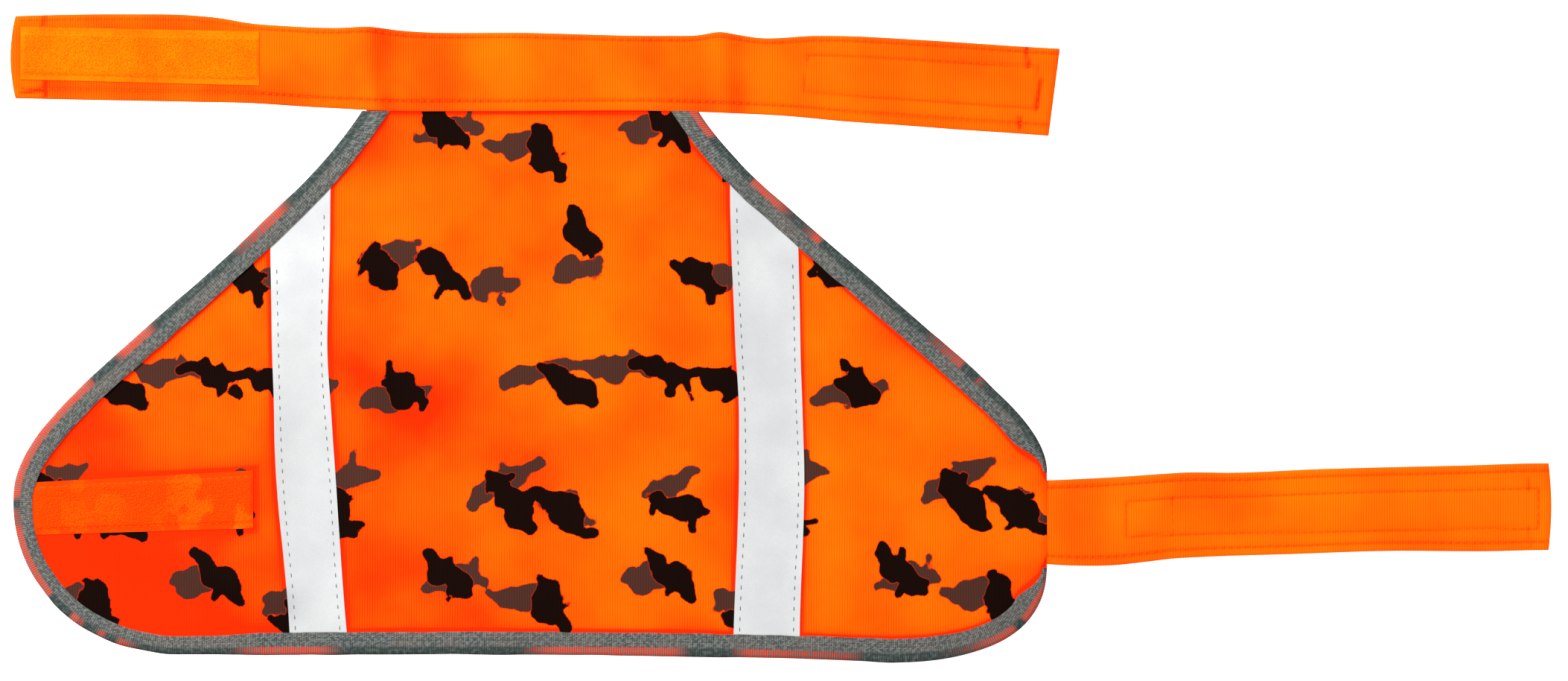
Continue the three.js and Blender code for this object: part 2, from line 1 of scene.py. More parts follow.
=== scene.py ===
# %% [markdown]
# # A dog's safety vest in blaze orange
# The vest is a flat piece of sewing: a printed knit panel, a grey binding folded over its edge, two
# reflective tapes, a folded neck strap, a folded belly strap and four hook-and-loop pads. The CAD
# model gives each piece its size, its place and the body that it moves with. This script makes the
# cloth itself. Each piece is a surface worked out on a grid and given its real thickness, so folds,
# hems and stitches are shapes and not only shading.

# %% The frame
import math
import bpy
import numpy as np
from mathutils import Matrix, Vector


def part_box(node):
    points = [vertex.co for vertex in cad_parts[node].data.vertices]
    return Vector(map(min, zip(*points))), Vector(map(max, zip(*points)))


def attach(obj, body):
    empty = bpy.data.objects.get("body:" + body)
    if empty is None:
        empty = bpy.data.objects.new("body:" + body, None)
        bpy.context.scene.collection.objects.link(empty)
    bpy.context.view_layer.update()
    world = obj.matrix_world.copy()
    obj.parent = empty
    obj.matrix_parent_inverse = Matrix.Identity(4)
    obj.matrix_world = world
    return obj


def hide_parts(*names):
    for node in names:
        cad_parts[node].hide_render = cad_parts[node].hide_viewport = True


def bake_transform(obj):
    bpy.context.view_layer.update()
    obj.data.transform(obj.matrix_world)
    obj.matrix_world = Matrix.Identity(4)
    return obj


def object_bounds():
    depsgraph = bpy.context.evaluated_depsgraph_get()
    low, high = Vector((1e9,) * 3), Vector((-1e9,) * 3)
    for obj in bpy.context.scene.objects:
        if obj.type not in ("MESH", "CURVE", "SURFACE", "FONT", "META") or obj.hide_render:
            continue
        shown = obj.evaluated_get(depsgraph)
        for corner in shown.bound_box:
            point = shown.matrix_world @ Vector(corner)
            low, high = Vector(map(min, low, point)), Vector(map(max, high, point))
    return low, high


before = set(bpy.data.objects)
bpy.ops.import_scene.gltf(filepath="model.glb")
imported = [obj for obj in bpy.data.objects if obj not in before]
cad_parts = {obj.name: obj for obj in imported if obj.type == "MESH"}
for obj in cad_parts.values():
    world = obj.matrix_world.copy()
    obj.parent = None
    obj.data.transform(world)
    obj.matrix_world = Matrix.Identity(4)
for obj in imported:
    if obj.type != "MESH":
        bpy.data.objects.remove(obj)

cad_box = [list(corner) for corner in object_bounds()]

# %% [markdown]
# Sewing patterns are drawn in millimetres from the spine and the hem, as on a cutting table. The CAD
# nodes say where the spine and the hem are in the model, so every piece is worked out in pattern
# millimetres and moved to the model's metres once, when its mesh is made.

# %% Pattern millimetres and model metres
MM = 0.001
panel_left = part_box("body_panel_left")
panel_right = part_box("body_panel_right")
spine_x = (panel_left[1][0] + panel_right[0][0]) / 2
hem_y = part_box("binding_left")[0][1]
neck_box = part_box("neck_strap_mid_right")
belly_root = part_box("belly_strap_root")

BODY_HALF_WIDTH = 194.5
BODY_HEIGHT = (neck_box[0][1] - hem_y) / MM
NECK_HALF_WIDTH = 63.2
BELLY_LOW = (belly_root[0][1] - hem_y) / MM
BELLY_HIGH = (belly_root[1][1] - hem_y) / MM
print("neck line", round(BODY_HEIGHT, 1), "belly strap", round(BELLY_LOW, 1), round(BELLY_HIGH, 1))


def to_model(points):
    """Pattern millimetres (x from the spine, y from the hem, z up) to model metres."""
    return points * MM + np.array([spine_x, hem_y, 0.0])


# %% [markdown]
# Smooth curves through a few chosen points draw the outlines. Hermite curves with averaged slopes pass
# through every point and never overshoot much, which suits a drawn pattern. The ease function is
# the usual S-shaped step, and the noise is random heights on a square lattice with eased steps
# between them: cheap, smooth and the same in every run.

# %% Curves, eased steps and noise
def ease(x, low, high):
    """0 below low, 1 above high, and 3t^2 - 2t^3 between them."""
    t = np.clip((np.asarray(x, float) - low) / (high - low), 0, 1)
    return t * t * (3 - 2 * t)


def curve_at(knots, x):
    """The height at x of the Hermite curve through knots (x, y), sorted by x."""
    kx, ky = np.array(knots, float).T
    slope = np.gradient(ky, kx)
    i = np.clip(np.searchsorted(kx, x) - 1, 0, len(kx) - 2)
    span = kx[i + 1] - kx[i]
    t = np.clip((x - kx[i]) / span, 0, 1)
    h00, h10 = 2 * t**3 - 3 * t**2 + 1, t**3 - 2 * t**2 + t
    h01, h11 = 3 * t**2 - 2 * t**3, t**3 - t**2
    return h00 * ky[i] + h10 * span * slope[i] + h01 * ky[i + 1] + h11 * span * slope[i + 1]


def noise(x, y, cell, seed):
    """Lattice noise from 0 to 1: eased bilinear steps between random corners cell mm apart."""
    table = np.random.default_rng(seed).random((97, 89))
    u, v = np.asarray(x, float) / cell + 400, np.asarray(y, float) / cell + 400
    i, j = np.floor(u).astype(int), np.floor(v).astype(int)
    a, b = ease(u - i, 0, 1), ease(v - j, 0, 1)

    def pick(di, dj):
        return table[(i + di) % 97, (j + dj) % 89]

    near = pick(0, 0) * (1 - a) + pick(1, 0) * a
    far = pick(0, 1) * (1 - a) + pick(1, 1) * a
    return near * (1 - b) + far * b


def along(points):
    """Distance along a path of points, starting at 0."""
    steps = np.linalg.norm(np.diff(points, axis=0), axis=1)
    return np.concatenate([[0.0], np.cumsum(steps)])


def respaced(points, spacing):
    """The same path with points about spacing mm apart."""
    s = along(points)
    count = max(int(round(s[-1] / spacing)) + 1, 2)
    t = np.linspace(0, s[-1], count)
    return np.stack([np.interp(t, s, points[:, k]) for k in range(points.shape[1])], axis=1)


print("noise at the spine and the hem", round(float(noise(0, 0, 25, 4)), 3))


# %% [markdown]
# Cloth is a thin solid. Each piece here is a pair of grids, an outer and an inner face, joined by
# walls around their rim. Blender could add the thickness with Solidify, but a folded band needs both
# faces to stay inside the fold, so the two faces are computed directly. The mesh carries a UV map in
# metres along and across the cloth, which the knit follows round every fold.

# %% From a pair of grids to a mesh
def grid_normals(surface):
    """Unit normals of a grid of points: the cross product of its two directions."""
    du = np.gradient(surface, axis=0)
    dv = np.gradient(surface, axis=1)
    normal = np.cross(du, dv)
    return normal / np.maximum(np.linalg.norm(normal, axis=2, keepdims=True), 1e-9)


def slab_faces(rows, cols):
    """Quads of a closed slab: face grid, back grid and the four rim walls."""
    index = np.arange(rows * cols).reshape(rows, cols)
    face = np.stack([index[:-1, :-1], index[1:, :-1], index[1:, 1:], index[:-1, 1:]], axis=2)
    face = face.reshape(-1, 4)
    back = face[:, ::-1] + rows * cols
    rim = np.concatenate([index[0, :-1], index[:-1, -1], index[-1, :0:-1], index[:0:-1, 0]])
    after = np.roll(rim, -1)
    wall = np.stack([rim, after, after + rows * cols, rim + rows * cols], axis=1)
    return np.concatenate([face, back, wall])


def signed_volume(points, faces):
    """Sum of the tetrahedra from the origin to each half quad: positive where faces point out."""
    a, b, c, d = (points[faces[:, k]] for k in range(4))
    halves = np.einsum("ij,ij->i", a, np.cross(b, c)) + np.einsum("ij,ij->i", a, np.cross(c, d))
    return halves.sum() / 6


def make_mesh(name, points, faces, uv, masks, material):
    """Puts arrays into a mesh object. uv is in metres, masks are named values per point."""
    if signed_volume(points, faces) < 0:
        faces = faces[:, ::-1]
    mesh = bpy.data.meshes.new(name)
    mesh.from_pydata(to_model(points).tolist(), [], faces.tolist())
    corners = np.empty(len(mesh.loops), np.int32)
    mesh.loops.foreach_get("vertex_index", corners)
    layer = mesh.uv_layers.new(name="cloth")
    layer.data.foreach_set("uv", uv[corners].astype(np.float32).ravel())
    for mask_name, values in masks.items():
        mask = mesh.attributes.new(mask_name, "FLOAT", "POINT")
        mask.data.foreach_set("value", np.asarray(values, np.float32))
    mesh.polygons.foreach_set("use_smooth", np.ones(len(mesh.polygons), bool))
    mesh.set_sharp_from_angle(angle=math.radians(50))
    mesh.materials.append(material)
    mesh.update()
    piece = bpy.data.objects.new(name, mesh)
    bpy.context.scene.collection.objects.link(piece)
    return piece


def slab(name, face, back, uv, masks, material, back_masks=()):
    """A closed piece of cloth from its face grid and its back grid, both (rows, cols, 3).

    The back takes the same mask values as the face unless back_masks gives others."""
    rows, cols = face.shape[:2]
    points = np.concatenate([face.reshape(-1, 3), back.reshape(-1, 3)])
    uvs = np.concatenate([uv.reshape(-1, 2)] * 2)
    behind = {**masks, **dict(back_masks)}
    doubled = {k: np.concatenate([v.ravel(), behind[k].ravel()]) for k, v in masks.items()}
    piece = make_mesh(name, points, slab_faces(rows, cols), uvs, doubled, material)
    print(name, len(piece.data.polygons), "faces")
    return piece


def cloth(name, middle, thickness, uv, masks, material, back_masks=()):
    """Cloth of a thickness around its middle surface, offset half each way along the normals."""
    offset = grid_normals(middle) * thickness / 2
    return slab(name, middle + offset, middle - offset, uv, masks, material, back_masks)


print("a slab of 3 by 3 points has", len(slab_faces(3, 3)), "faces")

# %% [markdown]
# The body's edge is drawn with a few Bezier runs on each side, the same runs as the CAD panel: hem,
# lower corner, side, upper corner and shoulder. A Bezier curve mixes its control points with the
# Bernstein weights. Both paths below go round the body with its inside on their left, so "inwards"
# is always the left-hand normal.

# %% The outline of the body
def bezier(controls, count=60):
    """Points sum(binomial(n, k) (1-t)^(n-k) t^k P_k) for t from 0 to 1."""
    p = np.array(controls, float)
    n = len(p) - 1
    t = np.linspace(0, 1, count)[:, None]
    k = np.arange(n + 1)
    weights = np.array([math.comb(n, i) for i in k]) * (1 - t) ** (n - k) * t**k
    return weights @ p


def body_side(sign, hem_drop, corner, side_edge, upper_round, bow):
    """The lower and the upper run of one side, from the spine out and then up to the neck."""
    edge_x = sign * BODY_HALF_WIDTH
    across, full_across, full_up = corner
    foot = np.array([edge_x - sign * across, -hem_drop])
    low, high = np.array([edge_x, side_edge[0]]), np.array([edge_x, side_edge[1]])
    shoulder = np.array([edge_x - sign * upper_round[0], side_edge[1] + upper_round[1]])
    neck = np.array([sign * NECK_HALF_WIDTH, BODY_HEIGHT])
    chord = neck - shoulder
    inward = np.array([-chord[1], chord[0]]) * sign / np.linalg.norm(chord)
    pulls = [shoulder + share * chord + depth * inward for share, depth in bow]
    hem = bezier([[0, 0], [foot[0] / 2, 0], foot])
    pull_a = [foot[0] + sign * across * full_across, foot[1]]
    pull_b = [edge_x, low[1] - (low[1] - foot[1]) * full_up]
    lower = np.concatenate([hem, bezier([foot, pull_a, pull_b, low])[1:]])
    arm = bezier([high, [edge_x, high[1] + upper_round[1] * 0.45], shoulder])
    upper = np.concatenate([arm, bezier([shoulder, *pulls, neck])[1:]])
    return lower, upper


left_low, left_up = body_side(-1, 0, (64.5, 0.65, 0.48), (57.5, 58.5), (22, 39), [(0.33, 1), (0.73, 8.6)])
belly_gap = (BELLY_LOW - 2.1, BELLY_HIGH + 2.1)
right_low, right_up = body_side(
    1, 2.6, (59.5, 0.67, 0.65), belly_gap, (19.8, 31.1), [(0.49, 0.7), (0.81, 7.6)])
long_edge = respaced(np.concatenate([left_up[::-1], left_low[::-1], right_low[1:]]), 1.5)
short_edge = respaced(right_up, 1.5)
print("edge lengths in mm", along(long_edge)[-1].round(), along(short_edge)[-1].round())


def inward_normals(path):
    """Unit normals to the left of a path's direction."""
    tangent = np.gradient(path, axis=0)
    tangent /= np.linalg.norm(tangent, axis=1, keepdims=True)
    return np.stack([-tangent[:, 1], tangent[:, 0]], axis=1)


# %% [markdown]
# A vest that is laid out is never quite flat. The cloth keeps soft swells from folding and a few
# ridges where the straps pull. All the layers share one height field, a sum of noise and of ridges
# with a bell-shaped section, so they rise and fall together and never pass through each other.

# %% Swells and ridges of the laid cloth
# from x, y to x, y, then height and half width of the ridge
RIDGES = [
    (-62, 238, -57.5, 202, 1.3, 3.8), (71.5, 238, 73.5, 204, 1.3, 4.4), (-40, 236, -36, 210, 0.7, 9.0),
    (5, 236, 2, 208, 0.6, 12.0), (38, 236, 42, 208, 0.6, 10.0), (-120, 240, -112, 212, 0.8, 12.0),
    (132, 234, 126, 208, 0.8, 14.0), (-52, 196, -30, 160, 1.3, 9.0), (56, 196, 34, 150, 1.1, 10.0),
    (-66, 150, -58, 60, 1.2, 8.0), (-98, 118, -104, 30, 1.2, 10.0), (70, 160, 64, 50, 0.9, 9.0),
    (-20, 90, -10, 10, 0.9, 14.0), (112, 110, 120, 20, 1.0, 11.0), (24, 120, 40, 30, 0.8, 16.0),
    (-160, 48, -96, 22, 1.4, 10.0), (150, 60, 176, 20, 0.9, 9.0), (240, 70, 246, 40, 0.5, 12.0),
    (320, 74, 326, 40, 0.5, 16.0),
]


def segment_distance(x, y, ax, ay, bx, by):
    """Distance to the segment from a to b, and the share along it where it is nearest."""
    dx, dy = bx - ax, by - ay
    t = np.clip(((x - ax) * dx + (y - ay) * dy) / max(dx * dx + dy * dy, 1e-9), 0, 1)
    return np.hypot(x - ax - t * dx, y - ay - t * dy), t


def lay(x, y):
    """Height of the laid cloth above z = 0 in mm: noise swells plus bell-shaped ridges."""
    height = 1.9 * noise(x, y, 62, 3) + 0.9 * noise(x, y, 25, 4)
    for ax, ay, bx, by, rise, width in RIDGES:
        gap, _ = segment_distance(x, y, ax, ay, bx, by)
        height = height + 1.35 * rise * np.exp(-((gap / width) ** 2))
    return height


def over_belly_strap(x, y):
    """Extra height of the side edge where it lies on the belly strap."""
    across = ease(y, BELLY_LOW - 6, BELLY_LOW + 1) * (1 - ease(y, BELLY_HIGH - 1, BELLY_HIGH + 6))
    return 1.5 * across * ease(x, 170, 186)


def neck_gathers(x, y):
    """Fine gathers of the panel under the neck strap, fading out in about 10 mm."""
    wave = np.sin(x / 1.7 + 5 * noise(x, y, 14, 9)) * (noise(x, y * 0, 11, 10) - 0.25)
    return 0.32 * wave * np.exp(-np.maximum(BODY_HEIGHT - y, 0) / 6) * ease(y, 150, 200)


def panel_lay(x, y):
    """Height of the body cloth: the common swells, the lift over the belly strap and the gathers."""
    return lay(x, y) + over_belly_strap(x, y) + neck_gathers(x, y)


print("the cloth's middle is", round(float(panel_lay(0.0, 100.0)), 2), "mm high at mid spine")


# %% [markdown]
# ## Finishes
# Blaze orange cloth is fluorescent: it gives back more orange light than falls on it, so its
# shadows turn red and not brown. A little emission of the cloth's own colour stands in for this: a
# painted glow, which keeps the shaded sides red however little light reaches them. The fine
# structure is one shader group, used by every knitted piece: columns of V-shaped stitches, the
# wales, worked out from the cloth's own coordinates.

# %% A node helper and the knit group
def nodes_of(tree):
    """A small helper that adds a node, sets its fields and wires or sets its inputs."""
    def add(kind, inputs=(), **fields):
        node = tree.nodes.new(kind)
        for key, value in fields.items():
            setattr(node, key, value)
        for key, value in dict(inputs).items():
            if isinstance(value, bpy.types.NodeSocket):
                tree.links.new(value, node.inputs[key])
            else:
                node.inputs[key].default_value = value
        return node
    return add


def maths(add, operation, a, b=0.0, c=0.0):
    """One Math node: a operation b."""
    return add("ShaderNodeMath", {0: a, 1: b, 2: c}, operation=operation).outputs[0]


def make_knit_group():
    """Height = sharpness of a V-shaped ridge that repeats once in a wale and once in a course.

    With u = x / wale and v = y / course, the leg of the V is |fract(u) - 1/2| and the ridge is
    1 - |2 fract(v + 1.7 leg) - 1|. The valley between two wales, (2 leg)^4, lowers it."""
    group = bpy.data.node_groups.new("knit stitches", "ShaderNodeTree")
    face = group.interface
    face.new_socket("Cloth", in_out="INPUT", socket_type="NodeSocketVector")
    for name, value in (("Wales per metre", 1030.0), ("Courses per metre", 1150.0)):
        face.new_socket(name, in_out="INPUT", socket_type="NodeSocketFloat").default_value = value
    face.new_socket("Height", in_out="OUTPUT", socket_type="NodeSocketFloat")
    face.new_socket("Gap", in_out="OUTPUT", socket_type="NodeSocketFloat")
    add = nodes_of(group)
    entry, leave = add("NodeGroupInput"), add("NodeGroupOutput")
    wobble = add("ShaderNodeTexNoise", {"Vector": entry.outputs["Cloth"], "Scale": 60.0, "Detail": 1.0})
    shift = maths(add, "MULTIPLY", maths(add, "SUBTRACT", wobble.outputs[0], 0.5), 0.7)
    split = add("ShaderNodeSeparateXYZ", {0: entry.outputs["Cloth"]})
    u = maths(add, "ADD", maths(add, "MULTIPLY", split.outputs[0], entry.outputs["Wales per metre"]), shift)
    courses = maths(add, "MULTIPLY", split.outputs[1], entry.outputs["Courses per metre"])
    v = maths(add, "ADD", courses, shift)
    leg = maths(add, "ABSOLUTE", maths(add, "SUBTRACT", maths(add, "FRACT", u), 0.5))
    climb = maths(add, "FRACT", maths(add, "MULTIPLY_ADD", leg, 1.7, v))
    rib = maths(add, "ABSOLUTE", maths(add, "MULTIPLY_ADD", climb, 2.0, -1.0))
    ridge = maths(add, "SUBTRACT", 1.0, rib)
    valley = maths(add, "POWER", maths(add, "MULTIPLY", leg, 2.0), 4.0)
    dip = maths(add, "SUBTRACT", 1.0, maths(add, "MULTIPLY", valley, 0.75))
    yarn = maths(add, "MULTIPLY_ADD", maths(add, "POWER", ridge, 0.6), 0.5, 0.5)
    height = maths(add, "MULTIPLY", yarn, dip)
    group.links.new(height, leave.inputs["Height"])
    hole = maths(add, "MULTIPLY", maths(add, "SUBTRACT", 1.0, height), 0.65)
    group.links.new(maths(add, "MULTIPLY_ADD", valley, 0.3, hole), leave.inputs["Gap"])
    return group


knit_group = make_knit_group()
print("knit group", len(knit_group.nodes), "nodes")


# %% [markdown]
# Every cloth material is built the same way: a colour branch that ends in Base Color and, weaker, in
# Emission Color, and a height branch that ends in a Bump node. Fixed numbers are set on the shader.

# %% A knitted material
def start_material(name, roughness, glow=0.0):
    """A new material with its Principled shader: returns the material, helper and shader."""
    material = bpy.data.materials.new(name)
    material.use_nodes = True
    add = nodes_of(material.node_tree)
    shader = material.node_tree.nodes["Principled BSDF"]
    shader.inputs["Roughness"].default_value = roughness
    shader.inputs["Specular IOR Level"].default_value = 0.03
    # glow is emission of the material's own colour: a painted glow that keeps its shaded sides lit.
    shader.inputs["Emission Strength"].default_value = glow
    return material, add, shader


def cloth_coordinates(add, wales=1030.0, courses=1150.0):
    """The piece's cloth UV map and the knit group reading it."""
    uv = add("ShaderNodeUVMap", uv_map="cloth").outputs[0]
    knit = add("ShaderNodeGroup", node_tree=knit_group)
    knit.id_data.links.new(uv, knit.inputs["Cloth"])
    knit.inputs["Wales per metre"].default_value = wales
    knit.inputs["Courses per metre"].default_value = courses
    return uv, knit


def blend_colour(add, factor, a, b):
    """Mix node on colours: a where factor is 0 and b where it is 1."""
    node = add("ShaderNodeMix", data_type="RGBA")
    tree = node.id_data
    for socket, value in ((node.inputs[0], factor), (node.inputs[6], a), (node.inputs[7], b)):
        if isinstance(value, bpy.types.NodeSocket):
            tree.links.new(value, socket)
        else:
            socket.default_value = value if isinstance(value, float) else (*value, 1.0)
    return node.outputs[2]


def finish_material(shader, colour, height, distance, glow=True):
    """Wires the colour and the bump height into the shader."""
    tree = shader.id_data
    tree.links.new(colour, shader.inputs["Base Color"])
    if glow:
        tree.links.new(colour, shader.inputs["Emission Color"])
    bump = tree.nodes.new("ShaderNodeBump")
    bump.inputs["Distance"].default_value = distance
    bump.inputs["Strength"].default_value = 0.9
    tree.links.new(height, bump.inputs["Height"])
    tree.links.new(bump.outputs[0], shader.inputs["Normal"])


def ramp(add, value, low, high, to_low=0.0, to_high=1.0):
    """Map Range with eased ends."""
    return add("ShaderNodeMapRange", {0: value, 1: low, 2: high, 3: to_low, 4: to_high},
               interpolation_type="SMOOTHSTEP").outputs[0]


ORANGE_LIGHT, ORANGE_DEEP = (1.0, 0.128, 0.0), (0.95, 0.016, 0.0)


def orange_base(add, uv, knit):
    """Blaze orange that varies softly, deepens with the mask of tone and painted shade, and darkens with
    painted shade in the knit's gaps.
    """
    soft = add("ShaderNodeTexNoise", {"Vector": uv, "Scale": 26.0, "Detail": 3.0}).outputs[0]
    # The mask read here holds random tone, painted shade and painted highlight; the gap term below is
    # painted shade.
    tone_and_shade = add("ShaderNodeAttribute", attribute_name="tone_and_painted_shade").outputs["Fac"]
    depth = maths(add, "ADD", maths(add, "MULTIPLY", ramp(add, soft, 0.35, 0.7), 0.28), tone_and_shade)
    depth = maths(add, "ADD", depth, maths(add, "MULTIPLY", knit.outputs["Gap"], 0.5))
    clamped = maths(add, "MINIMUM", depth, 1.0)
    return blend_colour(add, clamped, ORANGE_LIGHT, ORANGE_DEEP)


def make_orange_knit():
    """Plain blaze orange knit for the straps."""
    material, add, shader = start_material("orange knit", 0.85, 0.22)
    uv, knit = cloth_coordinates(add)
    fuzz = add("ShaderNodeTexNoise", {"Vector": uv, "Scale": 2600.0, "Detail": 2.0}).outputs[0]
    height = maths(add, "MULTIPLY_ADD", fuzz, 0.3, knit.outputs["Height"])
    finish_material(shader, orange_base(add, uv, knit), height, 0.00016)
    return material


orange_knit = make_orange_knit()
print("finish", orange_knit.name)

# %% [markdown]
# The body cloth is the same knit with a camouflage print. The two printed colours come from two
# masks on the mesh that hold the distance to the nearest blot in millimetres. The shader turns each
# distance into an edge, and adds fine noise first so that the edge looks printed on yarn. The print
# is on the face only, so an ink mask leaves just a shadow of it on the back.

# %% The printed knit
def make_orange_print():
    """Blaze orange, then grey-brown blots, then near-black blots, each with a dark red rim."""
    material, add, shader = start_material("orange print", 0.86, 0.2)
    uv, knit = cloth_coordinates(add)
    fine = add("ShaderNodeTexNoise", {"Vector": uv, "Scale": 620.0, "Detail": 3.0}).outputs[0]
    rough = maths(add, "MULTIPLY", maths(add, "SUBTRACT", fine, 0.5), 0.7)
    yarn = maths(add, "MULTIPLY_ADD", knit.outputs["Gap"], 0.2, rough)
    colour = orange_base(add, uv, knit)
    ink_share = add("ShaderNodeAttribute", attribute_name="ink").outputs["Fac"]
    blots = (("brown_blot", (0.05, 0.0172, 0.0115)), ("black_blot", (0.005, 0.0013, 0.0005)))
    for name, ink in blots:
        edge = maths(add, "ADD", add("ShaderNodeAttribute", attribute_name=name).outputs["Fac"], yarn)
        halo = ramp(add, edge, 0.0, 0.5, 0.8, 0.0)
        halo = maths(add, "MULTIPLY", halo, ink_share)
        colour = blend_colour(add, halo, colour, (0.36, 0.012, 0.001))
        # Painted shade: the ink is darker in the knit's gaps.
        gap_shaded_ink = blend_colour(add, maths(add, "MULTIPLY", knit.outputs["Gap"], 0.55), ink,
                            tuple(0.35 * c for c in ink))
        printed = maths(add, "MULTIPLY", ramp(add, edge, -0.12, 0.12, 1.0, 0.0), ink_share)
        colour = blend_colour(add, printed, colour, gap_shaded_ink)
    finish_material(shader, colour, knit.outputs["Height"], 0.00016)
    return material


orange_print = make_orange_print()
print("materials", [m.name for m in bpy.data.materials])

# %% [markdown]
# ## The camouflage
# The print is a plain camouflage of this script's own: near-black blots over grey-brown ones, in a
# repeat of about 170 mm each way. Each blot is a bent stroke of a round brush with a knob or two at
# its side, placed on a jittered grid from a seed. The distance to a stroke is the distance to its
# segments less the brush radius, and the nearest stroke wins, so blots melt together where they touch.

# %% Drawing the blots of one repeat
REPEAT_CORNER = np.array([-85.0, 190.0])
REPEAT_ACROSS, REPEAT_DOWN = np.array([170.2, 1.1]), np.array([1.7, -169.4])
BLOT_REACH = 4.0


def drawn_blots(seed, across, down, lean, length, radius):
    """Brush strokes of one repeat, arrays of (x, y, radius).

    Along a stroke t runs from -1/2 to 1/2: place = centre + length * t * direction + bend * side,
    and radius = radius * (0.4 + 0.6 cos(pi t)) * chance. lean is in degrees."""
    rng = np.random.default_rng(seed)
    t = np.linspace(-0.5, 0.5, 6)
    strokes = []
    for place in range(across * down):
        row, column = divmod(place, across)
        u = (column + 0.5 * (row % 2) + rng.uniform(-0.3, 0.3)) / across
        v = (row + rng.uniform(-0.25, 0.25)) / down
        centre = REPEAT_CORNER + u * REPEAT_ACROSS + v * REPEAT_DOWN
        angle = math.radians(lean + rng.normal(0, 16))
        direction = np.array([math.cos(angle), math.sin(angle)])
        side = np.array([-direction[1], direction[0]])
        run = length * rng.uniform(0.6, 1.25)
        bend = rng.uniform(-1.8, 1.8, t.size)
        line = centre + run * t[:, None] * direction + bend[:, None] * side
        brush = radius * (0.4 + 0.6 * np.cos(math.pi * t)) * rng.uniform(0.75, 1.3, t.size)
        strokes.append(np.column_stack([line, brush]))
        for _ in range(rng.integers(1, 3)):
            root = line[rng.integers(1, 5)]
            tip = root + side * rng.choice([-1, 1]) * rng.uniform(5, 8) + direction * rng.uniform(-4, 4)
            strokes.append(np.array([[*root, 2.2], [*tip, 1.1]]))
    return strokes


def blot_distance(x, y, strokes):
    """Distance in mm from each point to the nearest stroke's edge, negative inside, at most BLOT_REACH.

    Ragged edges come from adding noise of 2.7 and 5.5 mm cells to the distance."""
    nearest = np.full(x.shape, BLOT_REACH)
    shifts = [i * REPEAT_ACROSS + j * REPEAT_DOWN for i in (-1, 0, 1) for j in (-1, 0, 1)]
    for stroke in strokes:
        for (ax, ay, ar), (bx, by, br) in np.stack([stroke[:-1], stroke[1:]], axis=1):
            reach = max(ar, br) + BLOT_REACH
            for dx, dy in shifts:
                close = (np.abs(x - dx - (ax + bx) / 2) < abs(ax - bx) / 2 + reach) & (
                    np.abs(y - dy - (ay + by) / 2) < abs(ay - by) / 2 + reach)
                if not close.any():
                    continue
                gap, t = segment_distance(x[close] - dx, y[close] - dy, ax, ay, bx, by)
                nearest[close] = np.minimum(nearest[close], gap - (ar + (br - ar) * t))
    wave = (noise(x, y, 5.5, 21) - 0.5) * 1.5 + (noise(x, y, 2.7, 22) - 0.5) * 1.1
    return nearest + wave


brown_strokes = drawn_blots(11, 4, 4, 4, 24, 4.4)
black_strokes = drawn_blots(12, 4, 4, -36, 22, 4.8)
print("strokes in the repeat", len(black_strokes), "black", len(brown_strokes), "brown")

# %% [markdown]
# ## The body panel
# One cloth from the left flank to the right one. Its grid runs in columns, each from the hem to the
# shoulder, and stops just inside the fold of the binding. At the belly strap there is no binding and
# the edge is turned under, so the cloth reaches the outline there and rolls down. Its neck edge goes
# 6 mm up into the neck strap.

# %% The body panel's grid
PANEL_CLOTH = 0.7
PANEL_MIDDLE = 1.4
NECK_TUCK = 6.0

both_low = np.concatenate([left_low[::-1], right_low[1:]])
inset_low = both_low + inward_normals(both_low) * (
    1.4 - 1.2 * ease(both_low[:, 0] + both_low[:, 1] * 0.15, 196, 199)[:, None])


def upper_inset(run, sign, inset):
    """The shoulder run moved into the body and carried on past the neck line."""
    onward = run[-1] + (run[-1] - run[-3]) / np.linalg.norm(run[-1] - run[-3]) * 22
    path = np.concatenate([run, onward[None]])
    return path + inward_normals(path) * sign * inset[:, None]


left_inset = np.full(len(left_up) + 1, 1.4)
right_inset = 0.2 + 1.2 * ease(np.append(right_up[:, 1], 230), BELLY_HIGH + 2, BELLY_HIGH + 8)
high_left = upper_inset(left_up, -1, left_inset)
high_right = upper_inset(right_up, 1, right_inset)
neck_edge = BODY_HEIGHT + NECK_TUCK
high = np.concatenate([high_left, high_right[::-1]])
low_end, high_end = inset_low[-1, 0], high_right[0, 0]
first_x, last_x = high[:, 0].min() + 0.05, min(low_end, high_end) - 0.02
columns = np.linspace(first_x, last_x, 297)
floor_y = np.interp(columns, inset_low[:, 0], inset_low[:, 1])
roof_y = np.minimum(np.interp(columns, high[:, 0], high[:, 1]), neck_edge)
floor_y = np.minimum(floor_y, roof_y - 0.4)
rows = np.linspace(0, 1, 162)
panel_x = np.repeat(columns[:, None], len(rows), axis=1)
panel_y = floor_y[:, None] + (roof_y - floor_y)[:, None] * rows
print("panel grid", panel_x.shape, "from", first_x.round(1), "to", last_x.round(1))


# %% [markdown]
# The tone mask holds an even depth of colour with a faint random cloud, and painted shade: wide bell
# shapes where the cloth is made a deeper red-orange as if in shade, on the lower left flank and beside
# the tapes. Bells of negative strength are painted highlights.

